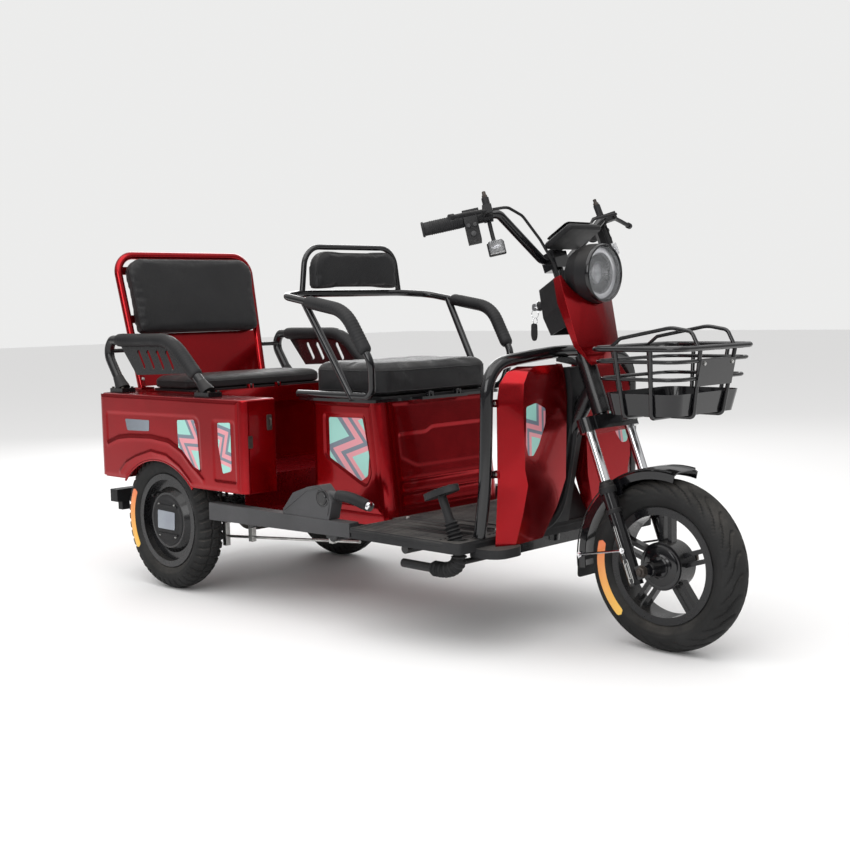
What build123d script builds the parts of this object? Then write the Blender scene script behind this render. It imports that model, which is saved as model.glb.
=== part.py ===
"""Electric passenger tricycle: one steered front wheel, a driver's seat on a box, and a rear body
with a bench between two side pods.

Row frame: +X forward, +Y to the rider's left, +Z up, millimetres, the ground at Z = 0.
"""
import os
from math import cos, radians, sin, sqrt

from build123d import *

os.makedirs("parts", exist_ok=True)

# ---- driving dimensions -------------------------------------------------------------------------
wheelbase = 1545.0
front_axle_x = 866.0
rear_axle_x = front_axle_x - wheelbase
rear_track = 665.0
tyre_radius = 208.0
tyre_width = 83.0
bead_radius = 127.0
flange_radius = 141.0

rake = 20.5                    # steering axis, degrees from the vertical
trail = 20.0                   # the axis meets the ground this far ahead of the contact point
fork_offset = 9.0              # legs ahead of the steering axis
fork_half_spacing = 81.0
running_gap = 0.3              # between a turning piece and its pin or bore
seat_gap = 0.3                 # between soft or curved pieces that rest on each other

frame_rail_y = 150.0           # centre plane of the two frame rails
frame_rail_width = 30.0
frame_low_top = 250.0          # top of the rails under the footboard
frame_low_height = 36.0
frame_high_top = 348.7         # top of the rails over the rear axle
frame_high_height = 40.0
frame_front_x = 520.0
frame_kick_x = -430.0          # where the rails step up, behind the footwell
frame_rear_x = -960.0

board_half_width = 386.0
board_rear_x = 165.0
board_front_x = 545.0
board_top = 278.0
board_skin = 8.0
board_lip = 6.0

sheet = 3.0                    # pressed panels of the bodywork
box_half_width = 220.0
box_rear_x = -176.0
box_front_top_x = 116.0
box_front_low_x = 152.0
box_top = 583.0
box_corner = 36.0
plate_thick = 8.0
plate_lip = 10.0               # seat plate past the seat box

pod_outer_y = 390.0
pod_inner_y = 278.0
pod_front_x = -252.0
pod_rear_x = -977.0
pod_top = 587.0
pod_bottom = 325.0
pod_corner = 22.0
arch_clearance = 18.0          # wheel housing past the tyre
skin_arch_top = 392.0
skin_arch_half_foot = 167.0

floor_z = 352.0
floor_front_x = -400.0
bench_front_x = -651.0
bench_rear_x = -890.0
bench_top = 590.0

battery_size = (230.0, 330.0, 190.0)

head_low = 600.0               # distances along the steering axis, from the ground
head_high = 752.0
head_radius = 23.0
stem_radius = 14.0
yoke_low = 555.0
yoke_high = 590.0
stanchion_radius = 12.5
leg_radius = 17.0
leg_top = 418.0
clamp_height = 1000.0
bar_radius = 11.0
grip_radius = 16.0

steer_cos = cos(radians(rake))
steer_sin = sin(radians(rake))
steer_ground_x = front_axle_x + trail
steer = Plane(
    origin=(steer_ground_x, 0, 0), x_dir=(steer_cos, 0, steer_sin), z_dir=(-steer_sin, 0, steer_cos)
)


def on_fork(forward, across, height):
    """A point given ahead of, beside and along the steering axis, in the row frame."""
    return (
        steer_ground_x + forward * steer_cos - height * steer_sin,
        across,
        forward * steer_sin + height * steer_cos,
    )


def to_fork(x, z):
    """Row X and Z as distance ahead of and along the steering axis."""
    ahead = x - steer_ground_x
    return ahead * steer_cos + z * steer_sin, -ahead * steer_sin + z * steer_cos


def bent_rod(points, bend, radius, bore=0.0):
    """A round rod or tube of one radius along straight runs joined by arcs."""
    with BuildPart() as rod:
        with BuildLine() as run:
            if len(points) > 2:
                FilletPolyline(*points, radius=bend)
            else:
                Line(*points)
        with BuildSketch(Plane(origin=run.line @ 0, z_dir=run.line % 0)) as section:
            Circle(radius)
            if bore > 0:
                Circle(bore, mode=Mode.SUBTRACT)
        sweep(sections=section.sketch, path=run.line)
    return rod.part


def flipped(part):
    """The same piece on the other side of the vehicle."""
    return mirror(part, about=Plane.XZ)


def save(part, name):
    part.label = name
    export_step(part, "parts/" + name + ".step")
    print(name, len(part.solids()), round(part.volume / 1000.0, 1))


def wheel_plane(x, y, z):
    """Sketch plane through a wheel's axle: local x runs across the wheel, local y is the radius."""
    return Plane(origin=(x, y, z), x_dir=(0, 1, 0), z_dir=(1, 0, 0))


# ---- tyres and wheels ---------------------------------------------------------------------------
half_tyre = tyre_width / 2
bead_half = 26.7
sidewall_radius = 174.0
shoulder_half = 34.0
shoulder_radius = 196.0
tyre_wall = 11.0


def tyre(x, y, z):
    """A tyre: bulged sidewalls, rounded crown and an open inside, turned about the axle."""
    with BuildPart() as ring:
        with BuildSketch(wheel_plane(x, y, z)):
            with BuildLine():
                Line((-bead_half + 9, bead_radius + seat_gap), (-bead_half, bead_radius + seat_gap))
                Line((-bead_half, bead_radius + seat_gap), (-bead_half, flange_radius + 2))
                ThreePointArc(
                    (-bead_half, flange_radius + 2),
                    (-half_tyre, sidewall_radius),
                    (-shoulder_half, shoulder_radius),
                )
                ThreePointArc(
                    (-shoulder_half, shoulder_radius), (0, tyre_radius), (shoulder_half, shoulder_radius)
                )
                ThreePointArc(
                    (shoulder_half, shoulder_radius),
                    (half_tyre, sidewall_radius),
                    (bead_half, flange_radius + 2),
                )
                Line((bead_half, flange_radius + 2), (bead_half, bead_radius + seat_gap))
                Line((bead_half, bead_radius + seat_gap), (bead_half - 9, bead_radius + seat_gap))
                Line((bead_half - 9, bead_radius + seat_gap), (bead_half - 9, flange_radius + 4))
                ThreePointArc(
                    (bead_half - 9, flange_radius + 4),
                    (0, tyre_radius - tyre_wall),
                    (-bead_half + 9, flange_radius + 4),
                )
                Line((-bead_half + 9, flange_radius + 4), (-bead_half + 9, bead_radius + seat_gap))
            make_face()
        revolve(axis=Axis((x, y, z), (0, 1, 0)))
    return ring.part


rim_wall = 4.0
flange_thick = 4.0
barrel_half = bead_half + seat_gap


def rim_barrel(x, y, z):
    """The rim that the tyre sits on: a barrel with a flange at each side."""
    with BuildPart() as barrel:
        with BuildSketch(wheel_plane(x, y, z)):
            with BuildLine():
                Polyline(
                    (-barrel_half, bead_radius),
                    (-barrel_half, flange_radius),
                    (-barrel_half - flange_thick, flange_radius),
                    (-barrel_half - flange_thick, bead_radius - rim_wall),
                    (barrel_half + flange_thick, bead_radius - rim_wall),
                    (barrel_half + flange_thick, flange_radius),
                    (barrel_half, flange_radius),
                    (barrel_half, bead_radius),
                    close=True,
                )
            make_face()
        revolve(axis=Axis((x, y, z), (0, 1, 0)))
    return barrel.part


front_hub_radius = 24.0
front_hub_half = 42.0
front_drum_radius = 58.0
front_drum_half = 30.0
front_spindle_radius = 7.0
spoke_count = 5
spoke_width = 11.0
spoke_pair_gap = 13.0
spoke_half_depth = 11.0

front_tyre = tyre(front_axle_x, 0, tyre_radius)
save(front_tyre, "front_tyre")

with BuildPart() as front_wheel:
    add(rim_barrel(front_axle_x, 0, tyre_radius))
    with BuildSketch(Plane.XZ):
        for index in range(spoke_count):
            angle = 90 + index * 360 / spoke_count
            for side in (-1, 1):
                middle = (front_drum_radius + bead_radius - rim_wall) / 2
                offset_across = side * (spoke_pair_gap + spoke_width) / 2
                with Locations(
                    (
                        front_axle_x + middle * cos(radians(angle)) - offset_across * sin(radians(angle)),
                        tyre_radius + middle * sin(radians(angle)) + offset_across * cos(radians(angle)),
                    )
                ):
                    Rectangle(bead_radius - front_drum_radius + 4, spoke_width, rotation=angle)
    extrude(amount=spoke_half_depth, both=True)
    with BuildSketch(Plane.XZ):
        with Locations((front_axle_x, tyre_radius)):
            Circle(front_drum_radius)
    extrude(amount=front_drum_half, both=True)
    with BuildSketch(Plane.XZ):
        with Locations((front_axle_x, tyre_radius)):
            Circle(front_hub_radius)
    extrude(amount=front_hub_half, both=True)
    with BuildSketch(Plane.XZ):
        with Locations((front_axle_x, tyre_radius)):
            Circle(front_spindle_radius + running_gap)
    extrude(amount=front_hub_half + 1, both=True, mode=Mode.SUBTRACT)
save(front_wheel.part, "front_wheel")

rear_hub_radius = 30.0
rear_hub_half = 30.0
rear_spindle_radius = 14.0
rear_disc_thick = 5.0
rear_dish_radius = 84.0
rear_dish_depth = 16.0
rear_hub_end = 14.0


def rear_rim(y):
    """Pressed steel wheel on the right: barrel, dished disc and a hub closed on the outside."""
    outer = -(rear_hub_half - 4)
    inner = outer + rear_disc_thick
    rim_inside = bead_radius - rim_wall + 1
    with BuildPart() as wheel:
        add(rim_barrel(rear_axle_x, y, tyre_radius))
        with BuildSketch(wheel_plane(rear_axle_x, y, tyre_radius)):
            with BuildLine():
                Polyline(
                    (inner, 0),
                    (outer, 0),
                    (outer, rear_dish_radius),
                    (outer + rear_dish_depth, rear_dish_radius + rear_dish_depth),
                    (outer + rear_dish_depth, rim_inside),
                    (inner + rear_dish_depth, rim_inside),
                    (inner + rear_dish_depth, rear_dish_radius + rear_dish_depth - 2),
                    (inner, rear_dish_radius - 2),
                    close=True,
                )
            make_face()
            with BuildLine():
                Polyline(
                    (outer + 1, 0),
                    (outer + 1, rear_hub_radius),
                    (rear_hub_half, rear_hub_radius),
                    (rear_hub_half, rear_spindle_radius + running_gap),
                    (outer + rear_hub_end, rear_spindle_radius + running_gap),
                    (outer + rear_hub_end, 0),
                    close=True,
                )
            make_face()
        revolve(axis=Axis((rear_axle_x, y, tyre_radius), (0, 1, 0)))
    return wheel.part


rear_tyre_right = tyre(rear_axle_x, -rear_track / 2, tyre_radius)
rear_wheel_right = rear_rim(-rear_track / 2)
save(rear_tyre_right, "rear_tyre_right")
save(flipped(rear_tyre_right), "rear_tyre_left")
save(rear_wheel_right, "rear_wheel_right")
save(flipped(rear_wheel_right), "rear_wheel_left")


def block(low, high):
    """A plain block between its lowest and highest corners."""
    with BuildPart() as piece:
        with BuildSketch(Plane.XY.offset(low[2])):
            with Locations(((low[0] + high[0]) / 2, (low[1] + high[1]) / 2)):
                Rectangle(high[0] - low[0], high[1] - low[1])
        extrude(amount=high[2] - low[2])
    return piece.part


def profile(points, y_low, y_high):
    """A side profile of X and Z points, pulled across the vehicle from y_low to y_high."""
    with BuildPart() as piece:
        with BuildSketch(Plane.XZ.offset(-y_high)):
            with BuildLine():
                Polyline(*points, close=True)
            make_face()
        extrude(amount=y_high - y_low)
    return piece.part


def peg(start, end, radius):
    """A straight round rod between two points."""
    return bent_rod([start, end], 0, radius)


# ---- main frame ---------------------------------------------------------------------------------
spine_top = on_fork(-4, 0, head_low + 68)
spine_radius = 20.0
spine_route = [spine_top, (560, 0, 484), (527, 0, 340), (512, 0, 232)]
outrigger_radius = 12.0
outrigger_low_x = (-285.0, 60.0, 330.0)
cross_rail_x = (-945.0, -520.0, 40.0, 400.0)
skirt_inner_y = 352.0

with BuildPart() as main_frame:
    for side in (-1, 1):
        rail_y = side * frame_rail_y
        rail_low_y = rail_y - frame_rail_width / 2
        rail_high_y = rail_y + frame_rail_width / 2
        add(
            profile(
                [
                    (frame_rear_x, frame_high_top - frame_high_height),
                    (frame_kick_x - 60, frame_high_top - frame_high_height),
                    (frame_kick_x, frame_low_top - frame_low_height),
                    (frame_front_x, frame_low_top - frame_low_height),
                    (frame_front_x, frame_low_top - seat_gap),
                    (frame_kick_x + 25, frame_low_top - seat_gap),
                    (frame_kick_x - 35, frame_high_top),
                    (frame_rear_x, frame_high_top),
                ],
                rail_low_y,
                rail_high_y,
            )
        )
        for x in outrigger_low_x:
            z = frame_low_top - 14
            add(
                peg(
                    (x, side * frame_rail_y, z),
                    (x, side * (skirt_inner_y - seat_gap), z),
                    outrigger_radius,
                )
            )
    for x in cross_rail_x:
        z = (frame_high_top if x < frame_kick_x else frame_low_top) - 20
        add(block((x - 12, -frame_rail_y, z - 14), (x + 12, frame_rail_y, z + 14)))
    add(block((frame_front_x - 30, -frame_rail_y, 216), (frame_front_x, frame_rail_y, 247)))
    add(bent_rod(spine_route, 120, spine_radius))
    with BuildSketch(steer.offset(head_low)):
        Circle(head_radius)
    extrude(amount=head_high - head_low)
    add(profile([(542, 699), (542, 688), (606, 678), (620, 682), (604, 692), (590, 699)], -10, 10))
    with BuildSketch(steer.offset(head_low - 40)):
        Circle(stem_radius + running_gap)
    extrude(amount=head_high - head_low + 60, mode=Mode.SUBTRACT)
save(main_frame.part, "main_frame")

# ---- footboard ----------------------------------------------------------------------------------
board_corner = 60.0
pedal_slot_x = (488.0, 532.0)
pedal_slot_y = (-372.0, -328.0)
nose_front_x = 612.0
nose_half_low = 215.0
nose_half_high = 326.0

with BuildPart() as footboard:
    with BuildSketch(Plane.XY.offset(frame_low_top)) as outline:
        with Locations(((board_rear_x + board_front_x) / 2, 0)):
            RectangleRounded(board_front_x - board_rear_x, 2 * board_half_width, board_lip * 2)
        fillet(outline.vertices().group_by(Axis.X)[-1], board_corner - board_lip * 2)
    extrude(amount=board_top - frame_low_top)
    with BuildSketch(Plane.XY.offset(frame_low_top)):
        with Locations(((board_rear_x + board_front_x) / 2, 0)):
            RectangleRounded(
                board_front_x - board_rear_x - 2 * board_lip,
                2 * board_half_width - 2 * board_lip,
                board_corner - board_lip,
            )
    extrude(amount=board_top - frame_low_top - board_skin, mode=Mode.SUBTRACT)
    add(
        block(
            (box_front_low_x + seat_gap, -box_half_width, board_top - board_skin),
            (board_rear_x + board_lip, box_half_width, board_top),
        )
    )
    for side in (-1, 1):
        with BuildSketch(Plane.XY.offset(frame_low_top - 14)) as lobe:
            with Locations(
                ((board_front_x - 20 + nose_front_x) / 2, side * (nose_half_low + nose_half_high) / 2)
            ):
                Rectangle(nose_front_x - board_front_x + 20, nose_half_high - nose_half_low)
            fillet(lobe.vertices().group_by(Axis.X)[-1], 40)
        extrude(amount=22)
    with BuildSketch(Plane.XY.offset(frame_low_top - 20)):
        with Locations((sum(pedal_slot_x) / 2, sum(pedal_slot_y) / 2)):
            RectangleRounded(pedal_slot_x[1] - pedal_slot_x[0], pedal_slot_y[1] - pedal_slot_y[0], 12)
    extrude(amount=80, mode=Mode.SUBTRACT)
    for side in (-1, 1):
        add(
            block(
                (board_rear_x + 40, side * frame_rail_y - 12, frame_low_top),
                (board_front_x - 60, side * frame_rail_y + 12, board_top - board_skin / 2),
            )
        )
    add(bent_rod(spine_route, 120, spine_radius + 3), mode=Mode.SUBTRACT)
save(footboard.part, "footboard")

# ---- leg guard and shields ----------------------------------------------------------------------
guard_radius = 13.5
guard_x = 556.0
guard_top = 714.8
guard_half = 287.0
guard_foot_half = 300.0
guard_route = [
    (guard_x - 22, -guard_foot_half, board_top + 2.5),
    (guard_x - 6, -guard_foot_half + 6, 400),
    (guard_x, -guard_half, guard_top - 23),
    (guard_x, -130, guard_top - 9),
    (guard_x, 0, guard_top),
]
guard_bends = [300, 90, 1500, 800]
tab_levels = (430.0, 600.0)    # where the leg shields are bolted to the guard

with BuildPart() as leg_guard:
    add(
        bent_rod(
            guard_route + [(x, -y, z) for x, y, z in reversed(guard_route[:-1])],
            guard_bends + list(reversed(guard_bends[:-1])),
            guard_radius,
        )
    )
    for side in (-1, 1):
        for z in tab_levels:
            tab_low_y = min(side * (guard_half - 36), side * (guard_half - 4))
            add(block((guard_x - 3, tab_low_y, z - 9), (guard_x + 2, tab_low_y + 32, z + 9)))
save(leg_guard.part, "leg_guard")


def shield_section(z, outer_y, ridge_y, inner_y, ridge_x, edge_x):
    """One level of the right leg shield: an outer facet, a ridge and an inner facet."""
    wall = sheet + 1
    return [
        (edge_x, -outer_y, z),
        (ridge_x, -ridge_y, z),
        (ridge_x - 10, -inner_y, z),
        (edge_x - 4, -inner_y + 6, z),
        (edge_x - 4 - wall, -inner_y + 6, z),
        (ridge_x - 10 - wall, -inner_y - wall, z),
        (ridge_x - wall, -ridge_y + 1, z),
        (edge_x - wall, -outer_y + wall, z),
    ]


shield_levels = [
    (frame_low_top + 8 + seat_gap, 280, 233, 120, 590, 566),
    (330, 274, 214, 72, 598, 566),
    (400, 268, 203, 45, 606, 566),
    (437, 268, 213, 43, 606, 566),
    (600, 266, 216, 37, 606, 566),
    (645, 256, 208, 37, 602, 566),
    (672, 228, 185, 37, 597, 566),
    (684, 190, 155, 37, 592, 566),
]
with BuildPart() as shield_right:
    for level in shield_levels:
        with BuildSketch(Plane.XY.offset(level[0])):
            with BuildLine():
                Polyline(*[(p[0], p[1]) for p in shield_section(*level)], close=True)
            make_face()
    loft(ruled=True)
    for z in tab_levels:
        add(block((guard_x + 2 + seat_gap, -266, z - 9), (guard_x + 13, -250, z + 9)))
save(shield_right.part, "leg_shield_right")
save(flipped(shield_right.part), "leg_shield_left")

cover_half = 28.0
trim_radius = 7.0
trim_route = [
    (609, 5, 600),
    (605, 8, 558),
    (588, 6, 466),
    (572, 6, 389),
    (562, 8, 345),
    (559, 25, 308),
    (556, 53, 284),
    (553, 95, 270),
]
cover_foot_z = board_top + seat_gap
cover_back_x = 536.0
cover_front = [(545, cover_foot_z), (569, 388), (603, 554), (607, 610), (598, 674)]
cover_rear = [(564, 674), (548, 600), (515, 430), (490, cover_foot_z)]
with BuildPart() as column_cover:
    add(profile(cover_front + cover_rear, -cover_half, cover_half))
    add(
        profile(
            [(x - sheet, z - sheet * (z > 600)) for x, z in cover_front]
            + [(x + sheet, z - sheet * (z > 600)) for x, z in cover_rear],
            -cover_half + sheet,
            cover_half - sheet,
        ),
        mode=Mode.SUBTRACT,
    )
    with BuildSketch(Plane.YZ.offset(cover_back_x)):
        with BuildLine():
            Polyline(
                (-20, 560), (20, 560), (46, 400), (124, cover_foot_z), (-124, cover_foot_z),
                (-46, 400), close=True
            )
        make_face()
    extrude(amount=sheet)
    for side in (-1, 1):
        add(bent_rod([(x, side * y, z) for x, y, z in trim_route], [60] * 6, trim_radius))
    add(bent_rod(spine_route, 120, spine_radius + 2), mode=Mode.SUBTRACT)
save(column_cover.part, "column_cover")

# ---- driver's seat box, battery, seat frame -----------------------------------------------------
with BuildPart() as seat_base:
    with BuildSketch(Plane.XZ.offset(-box_half_width)):
        with BuildLine():
            Polyline(
                (box_rear_x, frame_low_top),
                (box_front_low_x, frame_low_top),
                (box_front_low_x, board_top),
                (box_front_top_x, box_top),
                (box_rear_x, box_top),
                close=True,
            )
        make_face()
    extrude(amount=2 * box_half_width)
    corners = seat_base.edges().filter_by(GeomType.LINE)
    uprights = [e for e in corners if abs(e.center().Y) > box_half_width - 1 and abs((e % 0.5).Z) > 0.9]
    fillet(uprights, box_corner)
    offset(amount=-sheet, openings=seat_base.faces().sort_by(Axis.Z)[-1])
save(seat_base.part, "seat_base")

battery_floor = frame_low_top + sheet + seat_gap
save(
    block(
        (-110, -battery_size[1] / 2, battery_floor),
        (-110 + battery_size[0], battery_size[1] / 2, battery_floor + battery_size[2]),
    ),
    "battery_pack",
)

arm_radius = 10.0
arm_low_y = 258.0
arm_y = 285.0
arm_pad_radius = 17.0
arm_route = [
    (-170, -arm_low_y, box_top + plate_thick + arm_radius),
    (128, -arm_low_y, box_top + plate_thick + arm_radius),
    (148, -arm_y + 7, 690),
    (64, -arm_y - 3, 826),
    (-185, -arm_y, 869),
    (-221, -197, 876),
]
arm_bends = [34, 60, 34, 40, 120]
plate_top = box_top + plate_thick
strut_low = (52, arm_low_y, plate_top + 1)
strut_high = (-106, arm_y - 1, 855)

lid_hinge_x = box_front_top_x + 24
hinge_rise = 8.0
hinge_ear_y = (48.0, 62.0)
hinge_pin_radius = 3.0
hinge_ear_half = 2.5


def hinge_ears(x, z):
    """Ears and pin of a seat hinge that stands on a face at height z."""
    with BuildPart() as ears:
        for side in (-1, 1):
            for y in hinge_ear_y:
                add(
                    block(
                        (x - 5, side * y - hinge_ear_half, z - 1),
                        (x + 5, side * y + hinge_ear_half, z + hinge_rise + 5),
                    )
                )
            low_y = min(side * (hinge_ear_y[0] - 4), side * (hinge_ear_y[1] + 4))
            add(
                peg(
                    (x, low_y, z + hinge_rise),
                    (x, low_y + hinge_ear_y[1] - hinge_ear_y[0] + 8, z + hinge_rise),
                    hinge_pin_radius,
                )
            )
    return ears.part


def lid_board(x_low, x_high, half_width, z, hinge_x):
    """The stiff board under a seat cushion, with its two hinge eyes."""
    gap = hinge_ear_half + 0.8
    with BuildPart() as board:
        with BuildSketch(Plane.XY.offset(z + seat_gap)):
            with Locations(((x_low + x_high) / 2, 0)):
                RectangleRounded(x_high - x_low, 2 * half_width, 20)
        extrude(amount=board_thick)
        for side in (-1, 1):
            low_y = min(side * (hinge_ear_y[0] + gap), side * (hinge_ear_y[1] - gap))
            width = hinge_ear_y[1] - hinge_ear_y[0] - 2 * gap
            add(block((x_high - 12, low_y, z + 1), (hinge_x, low_y + width, z + seat_gap + board_thick)))
            add(peg((hinge_x, low_y, z + hinge_rise), (hinge_x, low_y + width, z + hinge_rise), 6.0))
            add(
                peg(
                    (hinge_x, low_y - 1, z + hinge_rise),
                    (hinge_x, low_y + width + 1, z + hinge_rise),
                    hinge_pin_radius + running_gap,
                ),
                mode=Mode.SUBTRACT,
            )
    return board.part


board_thick = 5.0
with BuildPart() as seat_frame:
    with BuildSketch(Plane.XY.offset(box_top)) as plate:
        with Locations(((box_rear_x + box_front_top_x) / 2, 0)):
            RectangleRounded(
                box_front_top_x - box_rear_x + 2 * plate_lip, 2 * (arm_low_y - 2), 24
            )
            RectangleRounded(
                box_front_top_x - box_rear_x - 90, 2 * box_half_width - 90, 30, mode=Mode.SUBTRACT
            )
    extrude(amount=plate_thick)
    whole_route = arm_route + [(x, -y, z) for x, y, z in reversed(arm_route)]
    add(bent_rod(whole_route, arm_bends + list(reversed(arm_bends)), arm_radius))
    for side in (-1, 1):
        add(
            peg(
                (strut_low[0], side * strut_low[1], strut_low[2]),
                (strut_high[0], side * strut_high[1], strut_high[2]),
                arm_radius,
            )
        )
    add(
        bent_rod(
            [(-222, -190, 876), (-224, -172, 1008), (-224, 172, 1008), (-222, 190, 876)], 60, 8.0
        )
    )
    add(block((box_front_top_x, -90, box_top), (lid_hinge_x + 6, 90, plate_top)))
    add(hinge_ears(lid_hinge_x, plate_top))
save(seat_frame.part, "seat_frame")

with BuildPart() as arm_pads_right:
    corner = Vector(*arm_route[3])
    pad_low_end = corner + (Vector(*arm_route[2]) - corner) * 0.8
    pad_rear_end = corner + (Vector(*arm_route[4]) - corner) * 0.61
    add(bent_rod([pad_low_end, corner, pad_rear_end], arm_bends[2], arm_pad_radius, arm_radius + seat_gap))
    strut_ends = [
        (strut_low[0], -strut_low[1], strut_low[2]),
        (strut_high[0], -strut_high[1], strut_high[2]),
    ]
    add(bent_rod(strut_ends, 0, arm_radius + seat_gap), mode=Mode.SUBTRACT)

headrest_low = 886.5
headrest_high = 999.5
with BuildPart() as headrest_pad:
    with BuildSketch(Plane.YZ.offset(-231)) as outline:
        with Locations((0, (headrest_low + headrest_high) / 2)):
            Rectangle(327, headrest_high - headrest_low)
        fillet(outline.vertices().group_by(Axis.Y)[-1], 52)
        fillet(outline.vertices().group_by(Axis.Y)[0], 12)
    extrude(amount=40)
    fillet(headrest_pad.faces().sort_by(Axis.X)[-1].edges(), 8)
save(headrest_pad.part, "headrest_pad")

# ---- side pods ----------------------------------------------------------------------------------
housing_radius = tyre_radius + arch_clearance
skin_arch_rise = skin_arch_top - pod_bottom
skin_arch_radius = (skin_arch_half_foot**2 + skin_arch_rise**2) / (2 * skin_arch_rise)


def pod_block(inset):
    """The right pod's outline as a block, smaller by the inset, with its two outer corners rounded."""
    with BuildPart() as piece:
        with BuildSketch(Plane.XY.offset(pod_bottom - inset)) as outline:
            with BuildLine():
                Polyline(
                    (pod_rear_x + inset, -pod_inner_y - inset),
                    (pod_front_x - inset, -pod_inner_y - inset),
                    (pod_front_x - inset, -pod_outer_y + inset),
                    (pod_rear_x + inset, -pod_outer_y + inset),
                    close=True,
                )
            make_face()
            fillet(outline.vertices().group_by(Axis.Y)[0], pod_corner - inset)
        extrude(amount=pod_top - pod_bottom)
    return piece.part


def across_cylinder(x, z, radius, y_low, y_high):
    """A round block lying across the vehicle."""
    return peg((x, y_low, z), (x, y_high, z), radius)


with BuildPart() as pod_right:
    add(pod_block(0))
    fillet(pod_right.faces().sort_by(Axis.Z)[-1].edges().sort_by(Axis.Y)[0], 6)
    hollow = pod_block(sheet) - across_cylinder(
        rear_axle_x, tyre_radius, housing_radius + sheet, -pod_outer_y, -pod_inner_y
    )
    add(hollow, mode=Mode.SUBTRACT)
    add(
        across_cylinder(
            rear_axle_x, tyre_radius, housing_radius, -pod_outer_y + sheet, -pod_inner_y - sheet
        ),
        mode=Mode.SUBTRACT,
    )
    add(
        across_cylinder(
            rear_axle_x, skin_arch_top - skin_arch_radius, skin_arch_radius, -pod_outer_y - 1,
            -pod_outer_y + sheet
        ),
        mode=Mode.SUBTRACT,
    )
save(pod_right.part, "side_pod_right")
save(flipped(pod_right.part), "side_pod_left")

# ---- rear floor, bench box, tail panel and lights -----------------------------------------------
inside_half = pod_inner_y - seat_gap
pan_z = frame_low_top + seat_gap
with BuildPart() as rear_floor:
    add(
        block(
            (pod_rear_x + sheet + seat_gap, -inside_half, floor_z - sheet),
            (floor_front_x, inside_half, floor_z),
        )
    )
    add(block((floor_front_x - sheet, -inside_half, floor_z - 32), (floor_front_x, inside_half, floor_z)))
    add(
        block(
            (floor_front_x - sheet, -inside_half, pan_z),
            (box_rear_x - seat_gap, inside_half, pan_z + sheet),
        )
    )
    add(block((floor_front_x - sheet, -inside_half, pan_z), (floor_front_x, inside_half, floor_z - 31)))
save(rear_floor.part, "rear_floor")

bench_hinge_x = bench_front_x + 5
with BuildPart() as bench_box:
    add(
        profile(
            [
                (bench_rear_x - 84, floor_z + seat_gap),
                (bench_front_x - 34, floor_z + seat_gap),
                (bench_front_x - 34, bench_top - 48),
                (bench_front_x, bench_top - 48),
                (bench_front_x + 12, bench_top - 8),
                (bench_front_x + 12, bench_top),
                (bench_rear_x - 84, bench_top),
            ],
            -inside_half,
            inside_half,
        )
    )
    add(
        profile(
            [
                (bench_rear_x - 81, floor_z + sheet),
                (bench_front_x - 37, floor_z + sheet),
                (bench_front_x - 37, bench_top - 45),
                (bench_front_x - sheet, bench_top - 45),
                (bench_front_x - sheet, bench_top - sheet),
                (bench_rear_x - 81, bench_top - sheet),
            ],
            -inside_half + sheet,
            inside_half - sheet,
        ),
        mode=Mode.SUBTRACT,
    )
    add(
        block(
            (bench_rear_x + 20, -inside_half + 30, bench_top - 10),
            (bench_front_x - 18, inside_half - 30, bench_top + 1),
        ),
        mode=Mode.SUBTRACT,
    )
    add(hinge_ears(bench_hinge_x, bench_top))
    add(block((pod_rear_x, -inside_half, pod_bottom), (pod_rear_x + sheet, inside_half, bench_top)))
save(bench_box.part, "bench_box")

lamp_low = 380.0
lamp_high = 560.0
with BuildPart() as tail_light:
    add(block((pod_rear_x - 10, -372, lamp_low), (pod_rear_x - 0.01, -302, lamp_high)))
with BuildPart() as tail_lights:
    add(tail_light.part)
    add(flipped(tail_light.part))
save(tail_lights.part, "tail_lights")

# ---- rear bumper --------------------------------------------------------------------------------
bumper_x = -1010.0
bumper_z = 252.0
with BuildPart() as rear_bumper:
    add(block((bumper_x - 20, -336, bumper_z - 20), (bumper_x + 20, 336, bumper_z + 20)))
    for side in (-1, 1):
        low_y = side * frame_rail_y - 14
        add(
            block(
                (bumper_x + 19, low_y, bumper_z - 12),
                (frame_rear_x - seat_gap, low_y + 28, bumper_z + 12),
            )
        )
        add(
            block(
                (frame_rear_x - 14, low_y, bumper_z - 12),
                (frame_rear_x - seat_gap, low_y + 28, pod_bottom - 3),
            )
        )
        add(
            block(
                (bumper_x - 12, side * 300 - 14, bumper_z - 48),
                (bumper_x + 12, side * 300 + 14, bumper_z - 19),
            )
        )
save(rear_bumper.part, "rear_bumper")

# ---- rear backrest ------------------------------------------------------------------------------
back_foot_x = -960.0
back_radius = 12.5
back_top_z = 1030.0
back_lean = 97.0
back_foot_half = 246.0
back_top_half = 266.0
lean_length = sqrt(back_lean**2 + (back_top_z - bench_top) ** 2)
lean_up = (-back_lean / lean_length, 0, (back_top_z - bench_top) / lean_length)
lean = Plane(
    origin=(back_foot_x, 0, bench_top), x_dir=(0, 1, 0), z_dir=(lean_up[2], 0, -lean_up[0])
)


def on_lean(across, up, out=0.0):
    """A point in the backrest's plane: across, up the lean, and out towards the rider's back."""
    return (
        back_foot_x + up * lean_up[0] + out * lean_up[2],
        across,
        bench_top + up * lean_up[2] - out * lean_up[0],
    )


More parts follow.
